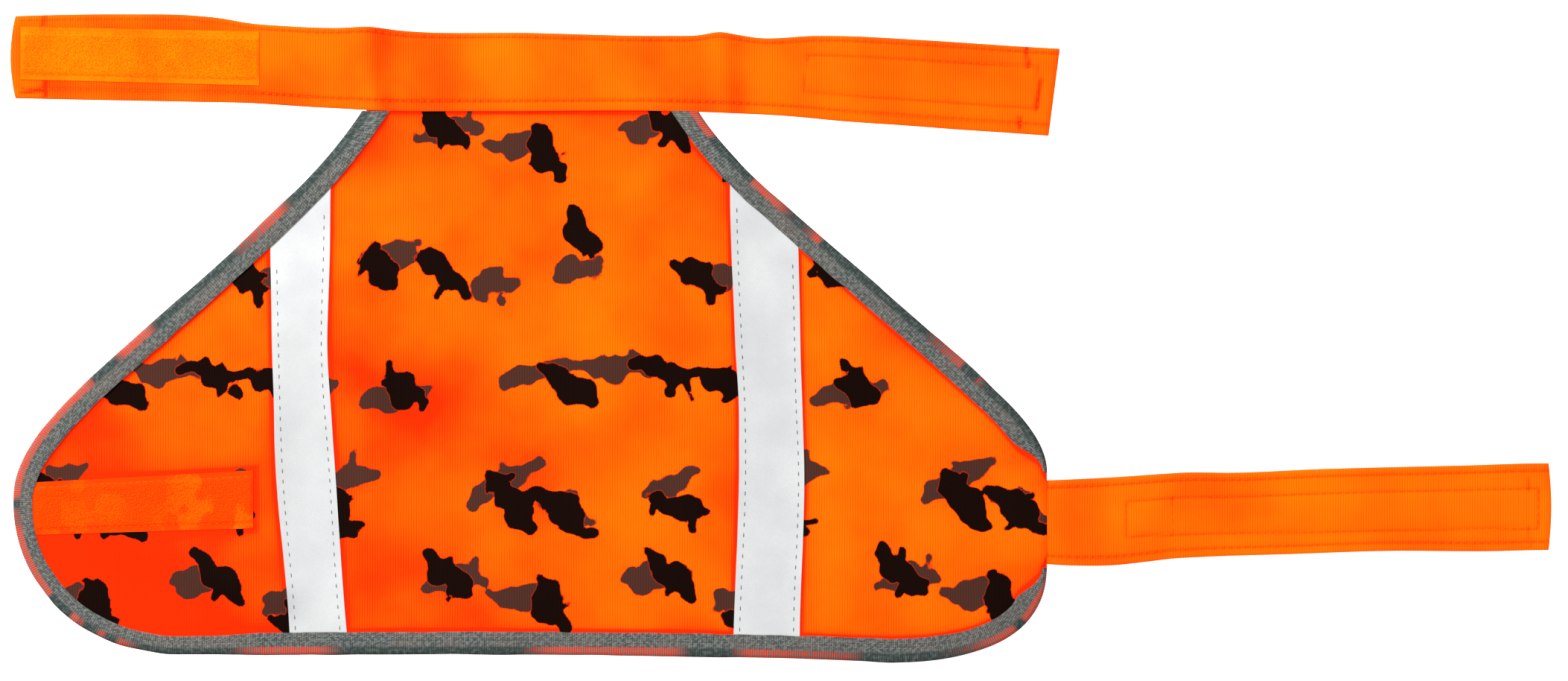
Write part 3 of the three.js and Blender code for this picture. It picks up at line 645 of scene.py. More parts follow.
# %% The panel's masks and mesh
# x, y, half width, strength
PAINTED_LIGHT_BELLS = [
    (-165, 20, 42, 0.7), (-120, 18, 34, 0.4), (-165, 75, 34, 0.28), (-42, 96, 20, 0.42),
    (-68, 108, 11, 0.4), (-70, 82, 20, 0.2), (-55, 30, 24, 0.22), (-60, 190, 14, 0.35),
    (60, 190, 12, 0.3), (-30, 40, 20, 0.12),
    (18, 100, 26, -0.1), (130, 60, 40, -0.12), (90, 120, 28, -0.12), (178, 30, 18, 0.1),
    (-60, 72, 14, 0.26), (-20, 80, 26, 0.2), (16, 74, 22, 0.24), (-98, 34, 12, 0.2), (-8, 18, 22, 0.22),
    (-60, 45, 14, 0.12), (5, 160, 16, 0.14),
]


def tone_and_painted_light(x, y):
    """An even 0.12, plus bells strength * exp(-(distance / width)^2) and a little cloud. The bells are
    painted shade; those of negative strength are painted highlight.
    """
    total = 0.12 + 0.2 * noise(x, y, 19, 63)
    for px, py, width, strength in PAINTED_LIGHT_BELLS:
        total += strength * np.exp(-((x - px) ** 2 + (y - py) ** 2) / width**2)
    return total


# Width of the binding along both runs of the edge: narrower on the left flank, and run out to
# almost nothing at the belly strap.
long_s, short_s = along(long_edge), along(short_edge)
flank = ease(long_s, 170, 215) * (1 - ease(long_s, 300, 335))
long_widths = 8.6 - 1.7 * flank - 7.2 * ease(long_s, long_s[-1] - 17, long_s[-1])
short_widths = 1.4 + 7.2 * ease(short_s, 0, 19)


def beyond_binding(x, y):
    """Distance in mm from each point to the binding: the least of distance to the rim less width."""
    rim = np.concatenate([long_edge, short_edge])
    widths = np.concatenate([long_widths, short_widths])
    nearest = np.full(x.shape, 1e9)
    for start in range(0, len(rim), 40):
        part = rim[start:start + 40]
        gaps = np.hypot(x[..., None] - part[:, 0], y[..., None] - part[:, 1]) - widths[start:start + 40]
        nearest = np.minimum(nearest, gaps.min(axis=-1))
    return nearest


# height above the hem, then the tape's left and right edges there
LEFT_TAPE = [(0, -90.2, -68.2), (9, -90.6, -69.1), (69, -95.5, -73.2), (116, -97.0, -76.2),
             (152, -97.7, -75.3), (175, -97.9, -75.0), (205, -97.9, -75.0)]
RIGHT_TAPE = [(0, 76.3, 101.3), (6, 76.4, 101.3), (75, 78.7, 103.1), (93, 78.4, 102.3), (122, 77.0, 101.6),
              (156, 75.6, 100.8), (175, 75.3, 100.5), (200, 75.3, 100.5)]


def painted_seam_shadow(x, y):
    """Painted contact shadow: the cloth is made deep red beside a binding, tape, strap or the belly loop
    pad, where it turns down.

    Close = exp(-(gap / 1.1 mm)^2) and wide = exp(-gap / 4 mm), for the nearest sewn edge."""
    gaps = [beyond_binding(x, y) + 0.2, BODY_HEIGHT - y]
    for knots in (LEFT_TAPE, RIGHT_TAPE):
        table = np.array(knots, float)
        left, right = curve_at(table[:, [0, 1]], y), curve_at(table[:, [0, 2]], y)
        gaps.append(np.maximum(left - x, x - right) + 0.1)
    loop_low = curve_at([(-192, 44.9), (-104, 47.6)], x)
    loop_high = curve_at([(-192, 64.6), (-104, 69.3)], x)
    gaps.append(np.maximum(np.maximum(loop_low - y, y - loop_high), x + 104.2))
    gap = np.minimum.reduce(np.abs(gaps))
    return 0.95 * np.exp(-((gap / 1.1) ** 2)) + 0.3 * np.exp(-gap / 4.0)


def print_masks(x, y):
    """The masks that the printed cloth needs: two distances to blots with scalloped edges, tone with
    painted shade and painted seam shadow, ink.
    """
    ragged = 0.25 + 0.75 * ease(noise(x, y, 15, 82), 0.4, 0.6)
    scallop = 3.4 * ragged * (noise(x, y, 3.4, 81) - 0.5)
    return {
        "black_blot": blot_distance(x, y, black_strokes) + scallop,
        "brown_blot": blot_distance(x, y, brown_strokes) + scallop,
        "tone_and_painted_shade": tone_and_painted_light(x, y) + painted_seam_shadow(x, y),
        "ink": np.ones_like(x),
    }


roll = 0.9 * ease(panel_x, 193.2, 194.5) * ease(panel_y, BELLY_LOW - 6, BELLY_LOW) * (
    1 - ease(panel_y, BELLY_HIGH, BELLY_HIGH + 6))
panel_z = PANEL_MIDDLE + panel_lay(panel_x, panel_y) - roll
panel_z = panel_z - (neck_gathers(panel_x, panel_y) * ease(panel_y, BODY_HEIGHT - 1, BODY_HEIGHT + 1))
# The panel's colour mask holds painted shade and painted seam shadow, the shadow weaker on the back.
panel = cloth(
    "body_panel", np.stack([panel_x, panel_y, panel_z], axis=2), PANEL_CLOTH,
    np.stack([panel_x, panel_y], axis=2) * MM, print_masks(panel_x, panel_y), orange_print,
    {"ink": np.full_like(panel_x, 0.25),
     "tone_and_painted_shade": tone_and_painted_light(panel_x, panel_y) + 0.3 * painted_seam_shadow(panel_x, panel_y)},
)


def spine_bend(piece):
    """Bakes the placement of a piece that crosses the spine into its mesh."""
    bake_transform(piece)


spine_bend(panel)
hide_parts("body_panel_left", "body_panel_right")

# %% [markdown]
# ## The edge binding
# Binding is a narrow knitted tape folded over the raw edge. Its middle line runs from the underside,
# round the edge, to the face. It is a thin see-through knit, so in its outer half the orange or the
# black of the panel shows through, and a mask holds how much of each.

# %% Binding finish
def make_binding_finish():
    """Grey-green ribbed knit; the outer half shows the panel's colour through its mesh."""
    material, add, shader = start_material("grey binding", 0.88, 0.0)
    uv, knit = cloth_coordinates(add, 1150.0, 1250.0)
    fine = add("ShaderNodeTexNoise", {"Vector": uv, "Scale": 700.0, "Detail": 4.0}).outputs[0]
    soft = add("ShaderNodeTexNoise", {"Vector": uv, "Scale": 60.0, "Detail": 2.0}).outputs[0]
    grey = blend_colour(add, ramp(add, soft, 0.35, 0.65), (0.06, 0.074, 0.07), (0.105, 0.09, 0.078))
    grey = blend_colour(add, ramp(add, fine, 0.4, 0.65), grey, (0.165, 0.17, 0.16))
    dark = blend_colour(add, ramp(add, fine, 0.42, 0.68), (0.035, 0.05, 0.046), (0.085, 0.11, 0.104))
    through = blend_colour(add, ramp(add, fine, 0.36, 0.66), (0.62, 0.06, 0.03), (0.3, 0.12, 0.095))
    print_under = add("ShaderNodeAttribute", attribute_name="print_under").outputs["Fac"]
    jitter = maths(add, "MULTIPLY_ADD", maths(add, "SUBTRACT", fine, 0.5), 0.5, print_under)
    below = blend_colour(add, ramp(add, jitter, -0.3, 0.3), through, dark)
    outer = add("ShaderNodeAttribute", attribute_name="outer_half").outputs["Fac"]
    share = maths(add, "MULTIPLY_ADD", maths(add, "SUBTRACT", fine, 0.5), 0.7, outer)
    colour = blend_colour(add, ramp(add, share, 0.3, 0.7), grey, below)
    # Painted shade: the knit's gaps darken to near black.
    gaps = maths(add, "MULTIPLY", knit.outputs["Gap"], 0.72)
    colour = blend_colour(add, gaps, colour, (0.02, 0.02, 0.018))
    height = maths(add, "MULTIPLY_ADD", fine, 0.5, knit.outputs["Height"])
    finish_material(shader, colour, height, 0.0003, False)
    return material


grey_binding = make_binding_finish()
print("finish", grey_binding.name)


# %% [markdown]
# On the vest one long tape runs through a folder that wraps it round the raw edge. A curve with a
# bevel would give it a fixed section, but this tape narrows on the flank and runs out at the belly
# strap. So its section is worked out at each step of the path, and the steps make one surface.

# %% Binding folded over a path
BINDING_CLOTH = 0.45
BINDING_TOP = 2.8


def neck_cut(s, depth, path, at_start, at_end):
    """Distances along a path stretched so that its neck end lies on the neck line at every depth.

    On a straight end y = end y + distance * t_y + depth * t_x, so the distance to the neck line is
    (neck line - end y - depth * t_x) / t_y. The stretch is eased in over 25 mm."""
    stretched = s + 0 * depth
    for wanted, end, first, second in ((at_start, 0, 0, 1), (at_end, -1, -2, -1)):
        if wanted:
            tx, ty = (path[second] - path[first]) / np.linalg.norm(path[second] - path[first])
            rise = (BODY_HEIGHT - 0.1 - path[end, 1] - depth * tx) / ty
            stretched = stretched + rise * (1 - ease(np.abs(s - s[end]), 0, 25))
    return stretched


def binding_piece(name, path, widths, at_start=False, at_end=False):
    """A tape folded over a path: a profile of two flats joined by a half ellipse, carried along it.

    The profile's middle line goes in on the underside, round the edge and in again on the face.
    Flats have the local width, waved a little at their inner edge."""
    across = 40
    v = np.linspace(-1, 1, across)
    s = along(path)[:, None]
    turn = np.clip(v / 0.16, -1, 1) * math.pi / 2
    low, high = BINDING_CLOTH / 2, BINDING_TOP - BINDING_CLOTH / 2
    middle, half = (low + high) / 2, (high - low) / 2
    wave = 0.45 * (noise(s, v * 0 + 3, 7, 31) - 0.5) + 0.5 * (noise(s, v * 0 + 9, 23, 32) - 0.5)
    flat = np.clip((np.abs(v) - 0.16) / 0.84, 0, 1)
    depth = half * 0.8 * (1 - np.cos(turn)) + 0.2 + flat * (widths[:, None] - 1.2 + wave)
    stitched = np.exp(-((flat - 0.5) / 0.09) ** 2) + np.exp(-((flat - 0.76) / 0.08) ** 2)
    puff = 0.16 * np.sin(flat * math.pi) - 0.16 * stitched * (flat > 0)
    inner_dip = 0.28 * ease(flat, 0.8, 1.0)
    height = middle + half * np.sin(turn) + np.where(v > 0, puff - inner_dip, 0)
    normal = inward_normals(path)
    outer_wave = 0.7 * (noise(s, s * 0 + 6, 26, 35) - 0.5) + 0.4 * (noise(s, s * 0 + 8, 9, 36) - 0.5)
    depth = depth + outer_wave * (1 - np.clip(depth / 9, 0, 1))
    line = np.concatenate([s, path, normal], axis=1)
    ahead = np.concatenate([line[:1], line, line[-1:]])
    ahead[0, 0], ahead[-1, 0] = -20.0, s.max() + 20
    ahead[0, 1:3] = path[0] - (path[1] - path[0]) / (s[1] - s[0]) * 20
    ahead[-1, 1:3] = path[-1] + (path[-1] - path[-2]) / (s[-1] - s[-2]) * 20
    at = neck_cut(s, depth, path, at_start, at_end)
    px, py, nx, ny = (np.interp(at, ahead[:, 0], ahead[:, k]) for k in (1, 2, 3, 4))
    xy = np.stack([px + nx * depth, py + ny * depth], axis=2)
    z = height + panel_lay(xy[:, :, 0], xy[:, :, 1])
    surface = np.concatenate([xy, z[:, :, None]], axis=2)
    u = s + v * 0
    uv = np.stack([u, v * (widths[:, None] + 1) + u * 0], axis=2) * MM
    probe = path + normal * 3.0
    dark = np.minimum(blot_distance(probe[:, 0], probe[:, 1], black_strokes),
                      blot_distance(probe[:, 0], probe[:, 1], brown_strokes))
    run = s[:, 0]
    patches = noise(run, run * 0 + 5, 17, 33) * 1.5 + noise(run, run * 0 + 2, 41, 34) * 1.5 - 1.45
    under = np.maximum(-dark / 2.5, patches)[:, None] + v * 0
    masks = {"print_under": under, "outer_half": 1 - ease(depth / widths[:, None], 0.22, 0.5)}
    piece = cloth(name, surface, BINDING_CLOTH, uv, masks, grey_binding)
    return piece


long_end = long_edge[:, 1] < BODY_HEIGHT - 0.15
long_path, long_widths = long_edge[long_end], long_widths[long_end]
short_end = short_edge[:, 1] < BODY_HEIGHT - 0.15
short_path, short_widths = short_edge[short_end], short_widths[short_end]
binding_long = binding_piece("edge_binding_long", long_path, long_widths, at_start=True)
spine_bend(binding_long)
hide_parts("binding_left", "binding_right_lower")
float(along(long_path)[-1]) * MM
binding_short = binding_piece("edge_binding_shoulder", short_path, short_widths, at_end=True)
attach(binding_short, "right_half")
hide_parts("binding_right_upper")
float(along(short_path)[-1]) * MM

# %% [markdown]
# ## The reflective tapes
# Reflective tape is cloth coated with glass beads far smaller than a hair. In soft light it is a flat
# silver grey with a very fine grain. The two tapes lie from the hem to the shoulder with both ends
# under the binding, and bow a little between.

# %% Reflective finish
def make_reflective():
    """Silver grey with bead grain of about 0.2 mm and faint clouds of wear."""
    material, add, shader = start_material("reflective silver", 0.5)
    uv = add("ShaderNodeUVMap", uv_map="cloth").outputs[0]
    beads = add("ShaderNodeTexVoronoi", {"Vector": uv, "Scale": 3600.0}).outputs["Distance"]
    cloud = add("ShaderNodeTexNoise", {"Vector": uv, "Scale": 38.0, "Detail": 5.0}).outputs[0]
    colour = blend_colour(add, ramp(add, cloud, 0.3, 0.75), (0.5, 0.505, 0.505), (0.42, 0.425, 0.43))
    colour = blend_colour(add, ramp(add, beads, 0.1, 0.6, 0.0, 0.3), colour, (0.3, 0.31, 0.315))
    finish_material(shader, colour, beads, 0.00002, False)
    shader.inputs["Metallic"].default_value = 0.08
    rough = ramp(add, cloud, 0.3, 0.7, 0.6, 0.75)
    shader.id_data.links.new(rough, shader.inputs["Roughness"])
    return material


reflective_silver = make_reflective()
TAPE_CLOTH = 0.32
TAPE_MIDDLE = PANEL_MIDDLE + PANEL_CLOTH / 2 + TAPE_CLOTH / 2 + 0.06
print("finish", reflective_silver.name, "tape height", round(TAPE_MIDDLE, 2))

# %% [markdown]
# A tape is sewn on before the binding, which hides its two cut ends. A Shrinkwrap modifier could lay a
# flat strip on the panel. Here the strip takes its height from the same height field as the panel, so
# the gap between the two stays even, save for a slight curl of the tape's edges.

# %% Laying a tape
TAPE_END = 4.5


def edge_height(run, x):
    """Height of a run of the outline at x."""
    order = np.argsort(run[:, 0])
    return np.interp(x, run[order, 0], run[order, 1])


def tape_piece(name, knots, low_run, high_run):
    """A strip between two edge curves, cut TAPE_END mm inside the outline at both ends."""
    knots = np.array(knots, float)
    t = np.linspace(0, 1, 150)[:, None]
    w = np.linspace(0, 1, 19)[None, :]
    guess = np.array([knots[0, 0], knots[-1, 0]])
    for _ in range(3):
        ends = []
        for y, run, side in ((guess[0], low_run, TAPE_END), (guess[1], high_run, -TAPE_END)):
            a, b = (curve_at(knots[:, [0, k]], np.full(w.shape, np.mean(y))) for k in (1, 2))
            ends.append(edge_height(run, a + (b - a) * w) + side)
        guess = np.array([ends[0].mean(), ends[1].mean()])
    y = ends[0] + (ends[1] - ends[0]) * t
    left, right = curve_at(knots[:, [0, 1]], y), curve_at(knots[:, [0, 2]], y)
    x = left + (right - left) * w + 0.25 * (noise(y, w * 3, 19, 41) - 0.5)
    curl = 0.1 * noise(y, w * 0 + 7, 6, 42) * (np.abs(w - 0.5) * 2) ** 6
    z = TAPE_MIDDLE + panel_lay(x, y) + curl
    uv = np.stack([x, y], axis=2) * MM
    piece = cloth(name, np.stack([x, y, z], axis=2), TAPE_CLOTH, uv, {}, reflective_silver)
    return piece


tape_left = tape_piece("reflective_tape_left_cloth", LEFT_TAPE, left_low, left_up)
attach(tape_left, "left_half")
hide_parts("reflective_tape_left")
tape_right = tape_piece("reflective_tape_right_cloth", RIGHT_TAPE, right_low, right_up)
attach(tape_right, "right_half")
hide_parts("reflective_tape_right")

# %% [markdown]
# ## Folded straps
# Each strap is one wide strip of knit folded along its upper edge, with both lower edges turned in
# and sewn shut. Across the strap the cloth runs: turned-in edge, lower fold, face, upper fold, back,
# lower fold, turned-in edge. Solidify on a flat strip could not give this, so the folded line is
# carried along the strap between two edge curves.

# %% The folded profile
STRAP_CLOTH = 0.45
TURN_IN = 6.0


def folded_profile(thickness):
    """Middle line of the cloth across a strap: arrays low, high, shift, z, face and share.

    A point lies at low * lower edge + high * upper edge + shift. face is 1 on the face side, and
    share runs from 0 at the lower fold to 1 at the upper fold."""
    face_z, back_z = thickness - STRAP_CLOTH / 2, STRAP_CLOTH / 2
    small = 0.25
    big = (face_z - back_z) / 2
    turn = np.linspace(0, math.pi, 9)
    share = np.linspace(0, 1, 34)
    tuck = np.linspace(TURN_IN, small, 6)

    def part(low, high, shift, z, face, at):
        shape = np.broadcast_arrays(low, high, shift, z, face, at)
        return np.stack([np.array(v, float) for v in shape])

    spread = small + 0.02, 0.75
    face_run = part(1 - share, share, spread[0] * (1 - share) - spread[1] * share, face_z, 1, share)
    back_run = part(share, 1 - share, spread[0] * share - spread[1] * (1 - share), back_z, 0, 1 - share)
    lower = small * (1 - np.sin(turn)) + 0.02
    parts = [
        part(1, 0, tuck[:-1], face_z - 2 * small, 0, 0),
        part(1, 0, lower, face_z - small - small * np.cos(turn), 0, 0)[:, :-1],
        face_run[:, :-1],
        part(0, 1, -0.75 * (1 - np.sin(turn)), face_z - big + big * np.cos(turn),
             np.cos(turn) > 0, 1)[:, :-1],
        back_run[:, :-1],
        part(1, 0, lower, back_z + small - small * np.cos(turn), 0, 0)[:, :-1],
        part(1, 0, tuck[::-1], back_z + 2 * small, 0, 0),
    ]
    return np.concatenate(parts, axis=1)


def smooth_crown(y, y_low, y_high):
    """The slight crown of a strap's face, 0.35 * sin(pi * share)^0.6."""
    share = np.clip((y - y_low) / (y_high - y_low), 0, 1)
    return 0.35 * np.sin(share * math.pi) ** 0.6


print("points across a folded strap", folded_profile(2.8).shape[1])


def strap_piece(name, x_start, x_end, edges, thickness, base, relief, end_shape=None):
    """A folded strap between its edge curves, over x from x_start to x_end.

    edges is (lower knots, upper knots), base(x) its height above z = 0, relief(x, y) what the
    face adds. end_shape(share) moves the free end sideways, and the free end is pinched shut."""
    low, high, shift, z, face, share = folded_profile(thickness)
    x = np.linspace(x_start, x_end, int(abs(x_end - x_start) / 1.15) + 1)[:, None]
    y_low, y_high = curve_at(edges[0], x), curve_at(edges[1], x)
    y = y_low * low + y_high * high + shift
    height = z + 0 * x
    grid_x = x + 0 * y
    if end_shape is not None:
        from_end = np.abs(x_end - x)
        free = 1 - ease(from_end, 0, 30)
        across = np.clip((y - y_low) / (y_high - y_low), 0, 1)
        grid_x = grid_x + free * end_shape(across)
        open_up = np.sqrt(1 - np.clip(1 - from_end / 1.3, 0, 0.97) ** 2)
        height = thickness / 2 + (height - thickness / 2) * np.maximum(open_up, 0.3)
    height = height + face * relief(grid_x, y) + base(grid_x) + lay(grid_x, y)
    length_across = along(np.stack([low * 0 + high * 30 + shift, z], axis=1))
    uv = np.stack([grid_x, length_across + 0 * x], axis=2) * MM
    # Painted shade: the face is darker where rows and grooves sink it below its crown.
    sunk_shade = np.clip(-np.minimum(relief(grid_x, y) - smooth_crown(y, y_low, y_high), 0), 0, 1) * face
    masks = {"tone_and_painted_shade": tone_and_painted_light(grid_x, y) + strap_crease_shade_and_tone(grid_x, y) + 1.5 * sunk_shade}
    piece = cloth(name, np.stack([grid_x, y, height], axis=2), STRAP_CLOTH, uv, masks, orange_knit)
    return piece


# %% [markdown]
# The neck strap is one band on the real vest. Here it is made in three lengths that meet in the two
# creases where the band folds.
# Rows of stitches pull the face down a little, and a pad sewn underneath lifts it.

# %% The neck strap's edges and face
NECK_LOW = [(-196, 209.4), (-183.7, 209.1), (-127.7, 208.0), (-105, 207.5), (-83, 206.1), (-71.7, 205.5),
            (-59, 204.8), (-20, 204.5), (58, 204.4), (74, 203.8), (96, 202.7), (119, 200.6), (141, 199.1),
            (163.5, 197.4), (186, 196.0), (201, 195.0)]
NECK_HIGH = [(-196, 239.8), (-183.7, 240.2), (-150, 240.6), (-127.7, 240.2), (-116.5, 239.1),
             (-105.3, 237.2), (-94, 236.3), (-71.7, 235.5), (-60.5, 235.9), (-50, 234.6), (0, 233.6),
             (51.5, 232.5),
             (63, 232.7), (71.7, 233.9), (78, 232.9), (85, 231.8), (107.5, 232.5), (119, 232.4),
             (141, 231.3), (163.5, 229.9), (186, 228.3), (201, 227.4)]
NECK_THICK = 2.8
CLOSING_ROW, FOLD_ROW = 3.7, 1.4
NECK_BOX = [(104.5, 225.6), (191.3, 221.2), (190.7, 205.2), (102.6, 211.8), (104.5, 225.6)]
BELLY_BOX = [(224, 57.9), (241.4, 58.9), (360.6, 62.4), (379.1, 62.6), (378.9, 47.4), (360.6, 47.6),
             (241.4, 45.2), (224, 44.5), (224, 57.9)]


# short dense rows that hold the turned-in ends
NECK_TACKS = [
    [(-182.6, 240), (-183.2, 236.4)], [(-182.2, 215.4), (-182.6, 208.6)], [(-191.5, 211.2), (-183, 212.2)],
    [(186.6, 228.6), (187.4, 221.0)], [(184.0, 202.0), (184.4, 198.0)], [(192.2, 216), (190.6, 205)],
]


def groove(x, y, corners, depth, half_width=0.5):
    """A dent along a path of corners: depth times a bell of the distance to the nearest side."""
    nearest = np.full(np.shape(x), 99.0)
    for (ax, ay), (bx, by) in zip(corners[:-1], corners[1:]):
        nearest = np.minimum(nearest, segment_distance(x, y, ax, ay, bx, by)[0])
    return depth * np.exp(-((nearest / half_width) ** 2))


def inside_box(x, y, corners, soft):
    """1 well inside a four-sided box and 0 outside, from its lower and upper edges."""
    pts = np.array(corners)
    left, right = pts[:, 0].min(), pts[:, 0].max()
    middle = pts[:-1, 1].mean()
    tops, feet = pts[:-1][pts[:-1, 1] > middle], pts[:-1][pts[:-1, 1] <= middle]
    tops, feet = tops[np.argsort(tops[:, 0])], feet[np.argsort(feet[:, 0])]
    top, foot = np.interp(x, *tops.T), np.interp(x, *feet.T)
    sides = ease(x, left, left + soft) * (1 - ease(x, right - soft, right))
    return sides * ease(y, foot, foot + soft) * (1 - ease(y, top - soft, top))


def strap_face(x, y, y_low, y_high, rows, box):
    """Relief of a strap's face: a slight crown, dents at its rows and a raised pad area."""
    pucker = 0.08 * np.sin(x * 2.05 + 4 * noise(x, y * 0, 9, 51))
    relief = smooth_crown(y, y_low, y_high)
    for row in rows:
        at = y_low + row if row > 0 else y_high + row
        relief = relief - (0.24 + pucker) * np.exp(-(((y - at) / 0.6) ** 2))
    relief = relief - groove(x, y, box, 0.2) + 0.28 * inside_box(x, y, box, 3.0)
    return relief


def neck_relief(x, y):
    """Relief of the neck strap's face."""
    low, high = curve_at(NECK_LOW, x), curve_at(NECK_HIGH, x)
    under_pad = ease(x, -193, -188) * (1 - ease(x, -106, -100))
    relief = strap_face(x, y, low, high, (CLOSING_ROW, -FOLD_ROW), NECK_BOX) * (1 - 0.6 * under_pad)
    for tack in NECK_TACKS:
        relief = relief - groove(x, y, tack, 0.42, 0.7)
    hem = (1 - ease(x, -183.5, -182)) * 0.22
    return relief + hem * (1 - under_pad * 0.5)


def neck_base(x):
    """Height of the neck strap above z = 0: the right arm rises onto its hook pad."""
    return 1.5 * ease(x, 74, 98)


def neck_top(x, y):
    """Height of the neck strap's outer face."""
    return NECK_THICK + neck_base(x) + neck_relief(x, y) + lay(x, y)


def strap_crease_shade_and_tone(x, y):
    """Painted shade in the creases beside the two neck corners, with a little random tone, and lighter from
    x = 180 to 200.
    """
    ends = 0.35 + 0.65 * ease(y, 226, 232) + 0.4 * (1 - ease(y, 208, 214))
    creases = groove(x, y, [(-55.5, 240), (-53, 200)], 0.36, 4.2) * ends * (0.4 + noise(x, y, 6, 62))
    creases = creases + groove(x, y, [(77, 240), (79, 200)], 0.14, 3.5)
    waves = 0.16 * (noise(x, y * 0.3, 17, 61) - 0.5)
    return creases + waves - 0.14 * ease(x, 180, 200)


# %% [markdown]
# The three lengths are laid between the same two edge curves, so neighbours meet without a step.

# %% The neck strap's three lengths
NECK_SPLIT_LEFT, NECK_SPLIT_RIGHT = -58.0, 71.7


def neck_left_bend(piece):
    """Bakes the placement of a piece of the left neck corner into its mesh."""
    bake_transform(piece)


def neck_right_bend(piece):
    """Bakes the placement of a piece of the right neck corner into its mesh."""
    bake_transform(piece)


neck_edges = (NECK_LOW, NECK_HIGH)
neck_middle = strap_piece("neck_strap_middle", NECK_SPLIT_LEFT, NECK_SPLIT_RIGHT, neck_edges, NECK_THICK,
                          neck_base, neck_relief)
spine_bend(neck_middle)
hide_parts("neck_strap_mid_left", "neck_strap_mid_right")
neck_left = strap_piece("neck_strap_left_arm", NECK_SPLIT_LEFT, -193.4, neck_edges, NECK_THICK,
                        neck_base, neck_relief, lambda s: -1.9 * np.sin(s * math.pi) ** 0.8)
neck_left_bend(neck_left)
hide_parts("neck_arm_left")
neck_right = strap_piece("neck_strap_right_arm", NECK_SPLIT_RIGHT, 197.0, neck_edges, NECK_THICK,
                         neck_base, neck_relief, lambda s: (s - 0.5) * 4.2)
neck_right_bend(neck_right)
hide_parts("neck_arm_right")

# %% [markdown]
# The belly strap is folded in the same way. Its inner end is sewn under the side edge of the panel,
# and a long hook pad sits under its outer part, so it rises a little there.

# %% The belly strap
BELLY_EDGE_LOW = [(184, 35.4), (197, 34.1), (207, 33.7), (219.5, 33.9), (231, 35.1), (242, 36.4),
                  (253, 37.0), (287, 38.1), (320, 39.2), (365, 39.2), (376, 39.5), (386, 39.6)]
BELLY_EDGE_HIGH = [(184, 65.0), (197, 65.5), (219.5, 66.6), (240, 68.0), (246, 68.35), (264, 68.3),
                   (298, 69.7), (320, 70.3), (354, 71.1), (376, 71.8), (386, 71.9)]
BELLY_THICK = 2.0
BELLY_ROWS = (2.9, -2.5)


def belly_relief(x, y):
    """Relief of the belly strap's face."""
    low, high = curve_at(BELLY_EDGE_LOW, x), curve_at(BELLY_EDGE_HIGH, x)
    relief = strap_face(x, y, low, high, BELLY_ROWS, BELLY_BOX)
    cross = groove(x, y, [(241.2, 59), (241.8, 45)], 0.2) + groove(x, y, [(375.6, 66), (375.9, 41)], 0.25)
    return relief - cross


def belly_base(x):
    """Height of the belly strap above z = 0."""
    return 1.4 * ease(x, 206, 226)


def belly_top(x, y):
    """Height of the belly strap's outer face."""
    return BELLY_THICK + belly_base(x) + belly_relief(x, y) + lay(x, y)


def belly_bend(piece):
    """Bakes the placement of a piece of the belly strap into its mesh."""
    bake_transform(piece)


belly = strap_piece("belly_strap_cloth", 186.2, 383.0, (BELLY_EDGE_LOW, BELLY_EDGE_HIGH), BELLY_THICK,
                    belly_base, belly_relief, lambda s: 1.0 * np.sin(s * math.pi))
belly_bend(belly)
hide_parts("belly_strap", "belly_strap_root")
print("straps made")

# %% [markdown]
# ## Stitches and other small tubes
# A stitch is a short bent tube of thread, a hook or a pile loop a thinner one. One function makes
# any number of them at once: it takes the middle line of every tube and a sideways direction, and
# puts a ring of points round each middle point. Two pole points close each tube.

# %% Many tubes in one mesh
def tubes(paths, sideways, radii, sides):
    """Points and faces of closed tubes. paths is (tubes, rings, 3), sideways (tubes, 3).

    A ring point is the middle point + r (cos a * sideways + sin a * across), where across is the
    cross product of the tube's direction and its sideways vector."""
    count, rings = paths.shape[:2]
    direction = np.gradient(paths, axis=1)
    direction /= np.maximum(np.linalg.norm(direction, axis=2, keepdims=True), 1e-9)
    side = np.broadcast_to(sideways[:, None, :], paths.shape)
    across = np.cross(direction, side)
    angle = np.arange(sides) / sides * 2 * math.pi
    ring = side[:, :, None] * np.cos(angle)[:, None] + across[:, :, None] * np.sin(angle)[:, None]
    skin = paths[:, :, None] + ring * np.reshape(radii, (1, rings, 1, 1))
    poles = np.stack([paths[:, 0] - direction[:, 0] * radii[0] * 0.5,
                      paths[:, -1] + direction[:, -1] * radii[-1] * 0.5], axis=1)
    points = np.concatenate([skin.reshape(count, -1, 3), poles], axis=1)
    per = points.shape[1]
    i = np.arange((rings - 1) * sides)
    a, b = i, i // sides * sides + (i % sides + 1) % sides
    quads = np.stack([a, b, b + sides, a + sides], axis=1)
    j = np.arange(sides)
    k = (j + 1) % sides
    last_ring = (rings - 1) * sides
    start = np.stack([k, j, j * 0 + per - 2], axis=1)
    finish = np.stack([j + last_ring, k + last_ring, j * 0 + per - 1], axis=1)
    offset = (np.arange(count) * per)[:, None, None]
    quads = (quads[None] + offset).reshape(-1, 4)
    caps = (np.concatenate([start, finish])[None] + offset).reshape(-1, 3)
    return points.reshape(-1, 3), quads, caps


